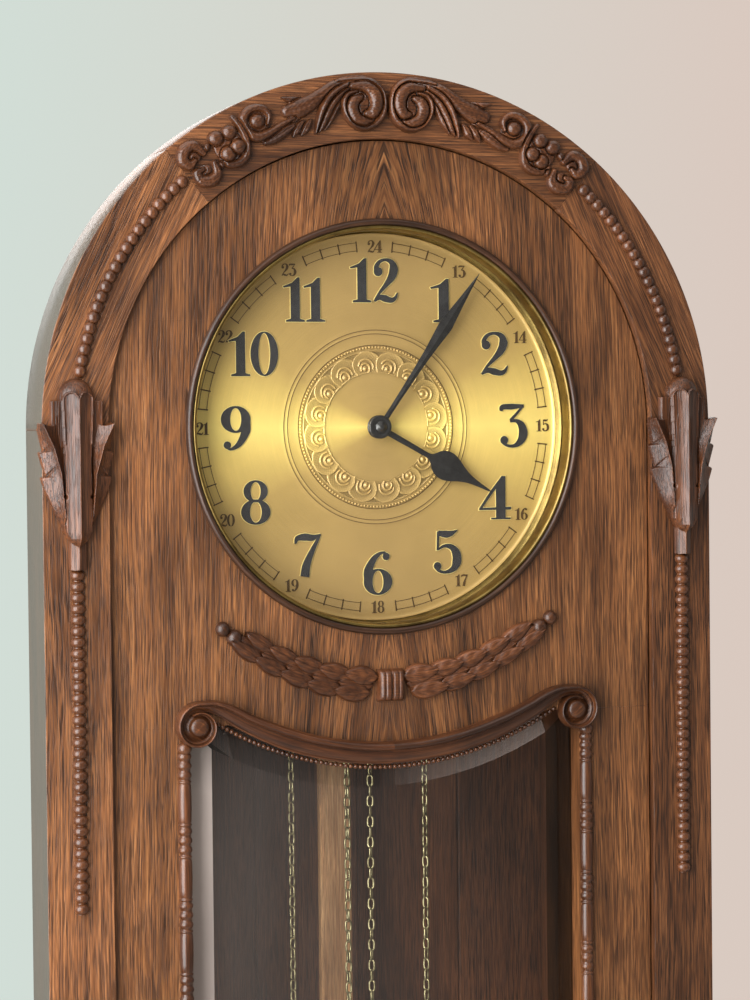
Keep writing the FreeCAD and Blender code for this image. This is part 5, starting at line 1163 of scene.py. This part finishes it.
# Pendulum: a wooden rod with brass ends, a ringed bob and a rating nut
def pendulum():
    low, high, centre = box_of("pendulum_bob")
    reach, half = (high.z - low.z) / 2, (high.y - low.y) / 2
    front = [(0.005, 1.0), (0.10, 1.0), (0.12, 0.94), (0.14, 1.0), (0.30, 0.985), (0.50, 0.94), (0.70, 0.85),
             (0.84, 0.72), (0.86, 0.62), (0.88, 0.70), (0.91, 0.70), (0.93, 0.58), (0.96, 0.52),
             (0.986, 0.40), (1.0, 0.22)]
    profile = [(r * reach, -h * half) for r, h in front] + [(r * reach, h * half) for r, h in reversed(front)]
    disc = lathe(profile, centre, "Y", 96, unit=1.0)
    piece("BobDisc", [disc], polished_brass, "pendulum", ["pendulum_bob"])
    tail, hang, sleeve, shoe, lap, fit = 22 * MM, 42 * MM, 26 * MM, 14 * MM, 1 * MM, 1.02
    foot = centre.z - reach - tail
    low, high, centre = box_of("pendulum_rod")
    neck = high.z - hang
    y = centre.y
    wide, thick, soft = 12.4 * MM, 3.9 * MM, 1.2 * MM
    section = [(-wide, -thick + soft), (-wide + soft, -thick), (wide - soft, -thick), (wide, -thick + soft),
               (wide, thick - soft), (wide - soft, thick), (-wide + soft, thick), (-wide, thick - soft)]

    def bar(bottom, top, grow):
        rows = [[(a * grow, y + b * grow, z) for a, b in section] for z in (bottom, top)]
        points, faces = grid(np.array(rows), wrap_columns=True)
        return points, [*map(tuple, faces), tuple(range(8)), tuple(range(8, 16))]

    stick = bar(foot, neck, 1.0)
    piece("RodStick", [stick], rod_wood, "pendulum", ["pendulum_rod"], smooth=False)
    collar = [(0.8, 0), (3.6, 1), (4.4, 3.0), (2.4, 5.0), (2.4, 8.0)]
    nut = [(1.6, 15), (1.6, 12), (8.8, 11.4), (9.0, 10.4), (9.0, 4.6), (8.6, 3.6), (2.2, 3.2), (1.6, 3),
           (1.6, 0.6), (0.02, 0)]
    leaf = 4 * MM
    spring = np.array([[(-leaf, y, z), (leaf, y, z)] for z in (neck, high.z)])
    fittings = [bar(neck - sleeve, neck + lap, fit), bar(foot - lap, foot + shoe, fit),
                lathe(collar, (0, y, neck), "Z", 20), grid(spring), lathe(nut, (0, y, low.z), "Z", 32)]
    piece("RodFittings", fittings, polished_brass, "pendulum", smooth=False)


# Keyhole plate on the door, in front of the lock, with black plates as painted shade in its keyhole
def lock_plate():
    centre = box_of("lock_case")[2]
    x, z = centre.x, centre.z
    steps = 56
    lobes = 1 + 0.07 * np.cos(4 * np.arange(steps) * TURN / steps)[:, None]
    outline = np.array([x, z]) + circle(steps) * lobes * (11.5 * MM, 20 * MM)
    face = DOOR_FACE - 1.4 * MM
    shield = plate(outline, face, DOOR_FACE, 0.8 * MM)
    piece("KeyPlate", [shield], polished_brass, "door", smooth=False)
    # Painted shade: the keyhole and its slot are black plates on the shield, standing for the opening.
    hole = np.array([x, z + 4 * MM]) + 2.6 * MM * circle(24)
    slot = np.array([x, z]) + np.array([(-1.0, -7), (1.0, -7), (1.4, 3), (-1.4, 3)]) * MM
    parts = [plate(cut, face - 0.1 * MM, face) for cut in (hole, slot)]
    piece("Keyhole", parts, hand_black, "door", smooth=False)


door_pane()
chains()
weights()
pull_rings()
pendulum()
lock_plate()


# Back board: upright planks with eased edges, screws along the sides and a hanger plate
def screw(x, y, z):
    """The head of a screw that looks to the back, and a black bar on it as painted shade for its slot."""
    dome = [(0.05, 0.7), (1.6, 0.65), (3.0, 0.4), (3.6, 0.0)]
    turn = rng.uniform(0, math.pi)
    along = 3.0 * MM * np.array([math.cos(turn), math.sin(turn)])
    across = 0.45 * MM * np.array([-math.sin(turn), math.cos(turn)])
    corners = [-along - across, along - across, along + across, across - along]
    # Painted shade: the slot is a black bar on the head, not a cut.
    slot = plate(np.array([x, z]) + corners, y + 0.74 * MM, y + 0.4 * MM)
    return lathe(dome, (x, y, z), "Y", 20), slot


def back_planks():
    low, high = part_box("back_board")
    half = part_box("side_right")[1].x
    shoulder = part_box("frame_bottom_rail")[0].z - 18 * MM
    recess, gap, ease = 0.8 * MM, 0.25 * MM, 1.0 * MM
    margin, lowest, foot_row = 7 * MM, 420 * MM, 12 * MM
    skin = high.y - recess
    joints = np.linspace(-half, half, 6)
    planks = []
    for left, right in zip(joints[:-1] + gap, joints[1:] - gap):
        top = [(x, DIAL_Z + math.sqrt(max(half ** 2 - x ** 2, 0))) for x in np.linspace(right, left, 17)]
        planks.append(slab([(left, low.z), (right, low.z)] + top, low.y, skin, ease))
    for left, right in ((low.x, -half - gap), (half + gap, high.x)):
        corners = [(left, low.z), (right, low.z), (right, shoulder), (left, shoulder)]
        planks.append(slab(corners, low.y, skin, ease))
    piece("BackPlanks", planks, case_oak, "case", ["back_board"], smooth=False)
    row = half - margin
    places = [(side * row, z) for side in SIDES for z in np.linspace(lowest, DIAL_Z, 7)]
    places += [(row * math.cos(a), DIAL_Z + row * math.sin(a)) for a in np.radians((30, 60, 90, 120, 150))]
    places += [(x, foot_row) for x in joints[1:-1]]
    heads, slots = zip(*[screw(x, skin, z) for x, z in places])
    centre = np.array([0, WALL_SCREW_Z])
    hole = circle(32)
    corner = hole / np.maximum(np.abs(hole).max(1), np.abs(hole).sum(1) / 1.7)[:, None]
    border = centre + corner * (17 * MM, 27 * MM)
    bore = centre + hole * 5 * MM
    face = skin + 0.5 * MM
    hanger = stacked([(border, skin), (border, face), (bore, face), (bore, skin - 4 * MM)])
    piece("BackScrews", [*heads, hanger], steel, "case", smooth=False)
    # Painted shade: a black disc behind the hanger's hole, kept in one dark object with the screw slots.
    shade = plate(centre + hole * 5.2 * MM, skin + 0.2 * MM, skin)
    piece("BackScrewSlots", [*slots, shade], hand_black, "case", smooth=False)


# Plinth: an ogee frame with a raised field on the front and on both sides
def plinth_panels():
    profile = [(0, 0), (0, 2.4), (1.4, 3.6), (3.2, 4.0), (5.0, 3.6), (6.2, 2.6), (7.4, 2.2), (9.6, 2.2),
               (10.4, 1.4), (11.6, 1.0), (12.4, 0.2), (24.0, 0.5), (32.0, 2.8), (33.0, 3.2)]
    skirting, bottom, top = 12 * MM, 118 * MM, 298 * MM
    for node, axis, first, last in (("plinth_front", 0, 62, 62), ("plinth_left", 1, 50, 30),
                                    ("plinth_right", 1, 50, 30)):
        low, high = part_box(node)
        outward = 1 if node == "plinth_right" else -1
        face = (low if outward < 0 else high)[1 - axis] - outward * skirting
        start, end = low[axis] + first * MM, high[axis] - last * MM
        rows = []
        for inset, rise in np.array(profile) * MM:
            corners = [(start + inset, bottom + inset), (end - inset, bottom + inset),
                       (end - inset, top - inset), (start + inset, top - inset)]
            out = face + outward * rise
            rows.append([(a, out, b) if axis == 0 else (out, a, b) for a, b in corners])
        points, faces = grid(np.array(rows), wrap_columns=True)
        count = len(points)
        panel = points, [*map(tuple, faces), tuple(range(count - 4, count))]
        piece("Panel_" + node, [panel], depth_oak if axis else rail_oak, "case", smooth=False)


back_planks()
plinth_panels()


# Stage, light and camera
def floor():
    radius, drop, steps = 5.0, 0.4 * MM, 64
    look = Shader(bpy.data.materials.new("Floor"))
    cloud = look.noise(look.place(), 3.0, 3.0, 0.5)
    tone = look.ramp(cloud, [(0.3, srgb(184, 184, 180)), (0.7, srgb(190, 189, 185))])
    paint = look.finish({"Base Color": tone, "Roughness": 0.8})
    ring = radius * circle(steps)
    disc = xyz(ring[:, 0], ring[:, 1], -drop), [tuple(range(steps))]
    item = piece("Floor", [disc], paint, None, smooth=False)


def backdrop():
    """A pale wall for the camera, a dimmer room for reflections and soft light for the rest."""
    world = bpy.data.worlds.new("Pale")
    bpy.context.scene.world = world
    look = Shader(world)
    x, y = look.split(look.place("Generated"))[:2]
    wall = look.ramp(x, [(0.168, srgb(209, 223, 216)), (0.468, srgb(218, 200, 190))])
    depth = look.math("MULTIPLY_ADD", y, 0.5, 0.5)
    room = look.ramp(depth, [(0.36, srgb(146, 143, 138)), (0.66, srgb(168, 170, 166))])
    seen = look.add("Background", {"Color": wall}).outputs[0]
    mirrored = look.add("Background", {"Color": room}).outputs[0]
    light = look.nodes["Background"]
    look.put(light, {"Color": (0.90, 0.92, 0.92, 1), "Strength": 0.36})
    path = look.add("LightPath").outputs
    unseen = look.between(path["Is Glossy Ray"], light.outputs[0], mirrored)
    whole = look.between(path["Is Camera Ray"], unseen, seen)
    look.put(look.nodes["World Output"], {"Surface": whole})


def lamp(name, place, aim, width, height, power, colour):
    data = bpy.data.lights.new(name, "AREA")
    data.shape = "RECTANGLE"
    data.size = width
    data.size_y = height
    data.energy = power
    data.color = colour
    item = bpy.data.objects.new(name, data)
    item.location = place
    item.rotation_mode = "QUATERNION"
    item.rotation_quaternion = (Vector(aim) - Vector(place)).to_track_quat("-Z", "Y")
    bpy.context.scene.collection.objects.link(item)


def camera():
    """The photo's view: a pinhole camera to the left of the clock, level with the dial."""
    yaw, pitch, roll = math.radians(19.185), math.radians(1.497), math.radians(-0.6)
    sensor, reach = 36.0, 2.6599
    place = (-0.6291, FRAME_FACE - 1.775, DIAL_Z - 0.0025)
    forward = Vector((math.sin(yaw) * math.cos(pitch), math.cos(yaw) * math.cos(pitch), -math.sin(pitch)))
    right = Vector((math.cos(yaw), -math.sin(yaw), 0))
    up = right.cross(forward)
    tilted = math.cos(roll) * right + math.sin(roll) * up
    above = math.cos(roll) * up - math.sin(roll) * right
    data = bpy.data.cameras.new("Camera")
    data.sensor_width = sensor
    data.lens = sensor * reach
    item = bpy.data.objects.new("Camera", data)
    turn = Matrix((tilted, above, -forward)).transposed().to_4x4()
    item.matrix_world = Matrix.Translation(place) @ turn
    bpy.context.scene.collection.objects.link(item)
    bpy.context.scene.camera = item


floor()
backdrop()
lamp("Window", (-1.15, -0.82, 1.72), (0.05, -0.1, 1.5), 1.2, 1.9, 70, (0.97, 0.99, 1.0))
lamp("Room", (3.4, -1.3, 2.3), (0, -0.1, 1.5), 2.4, 2.4, 6, (1.0, 0.95, 0.9))
lamp("Front", (-0.4, -2.9, 5.0), (0, 0, 1.3), 2.4, 1.6, 20, (1.0, 0.98, 0.96))
lamp("Ceiling", (0.0, 0.8, 6.4), (0.0, 0.8, 0.0), 7.0, 7.0, 200, (1.0, 0.99, 0.97))
lamp("Behind", (0.6, 2.8, 2.4), (0, 0, 1.0), 2.0, 1.6, 45, (1.0, 0.98, 0.96))
camera()
bpy.context.scene.view_settings.view_transform = "Standard"
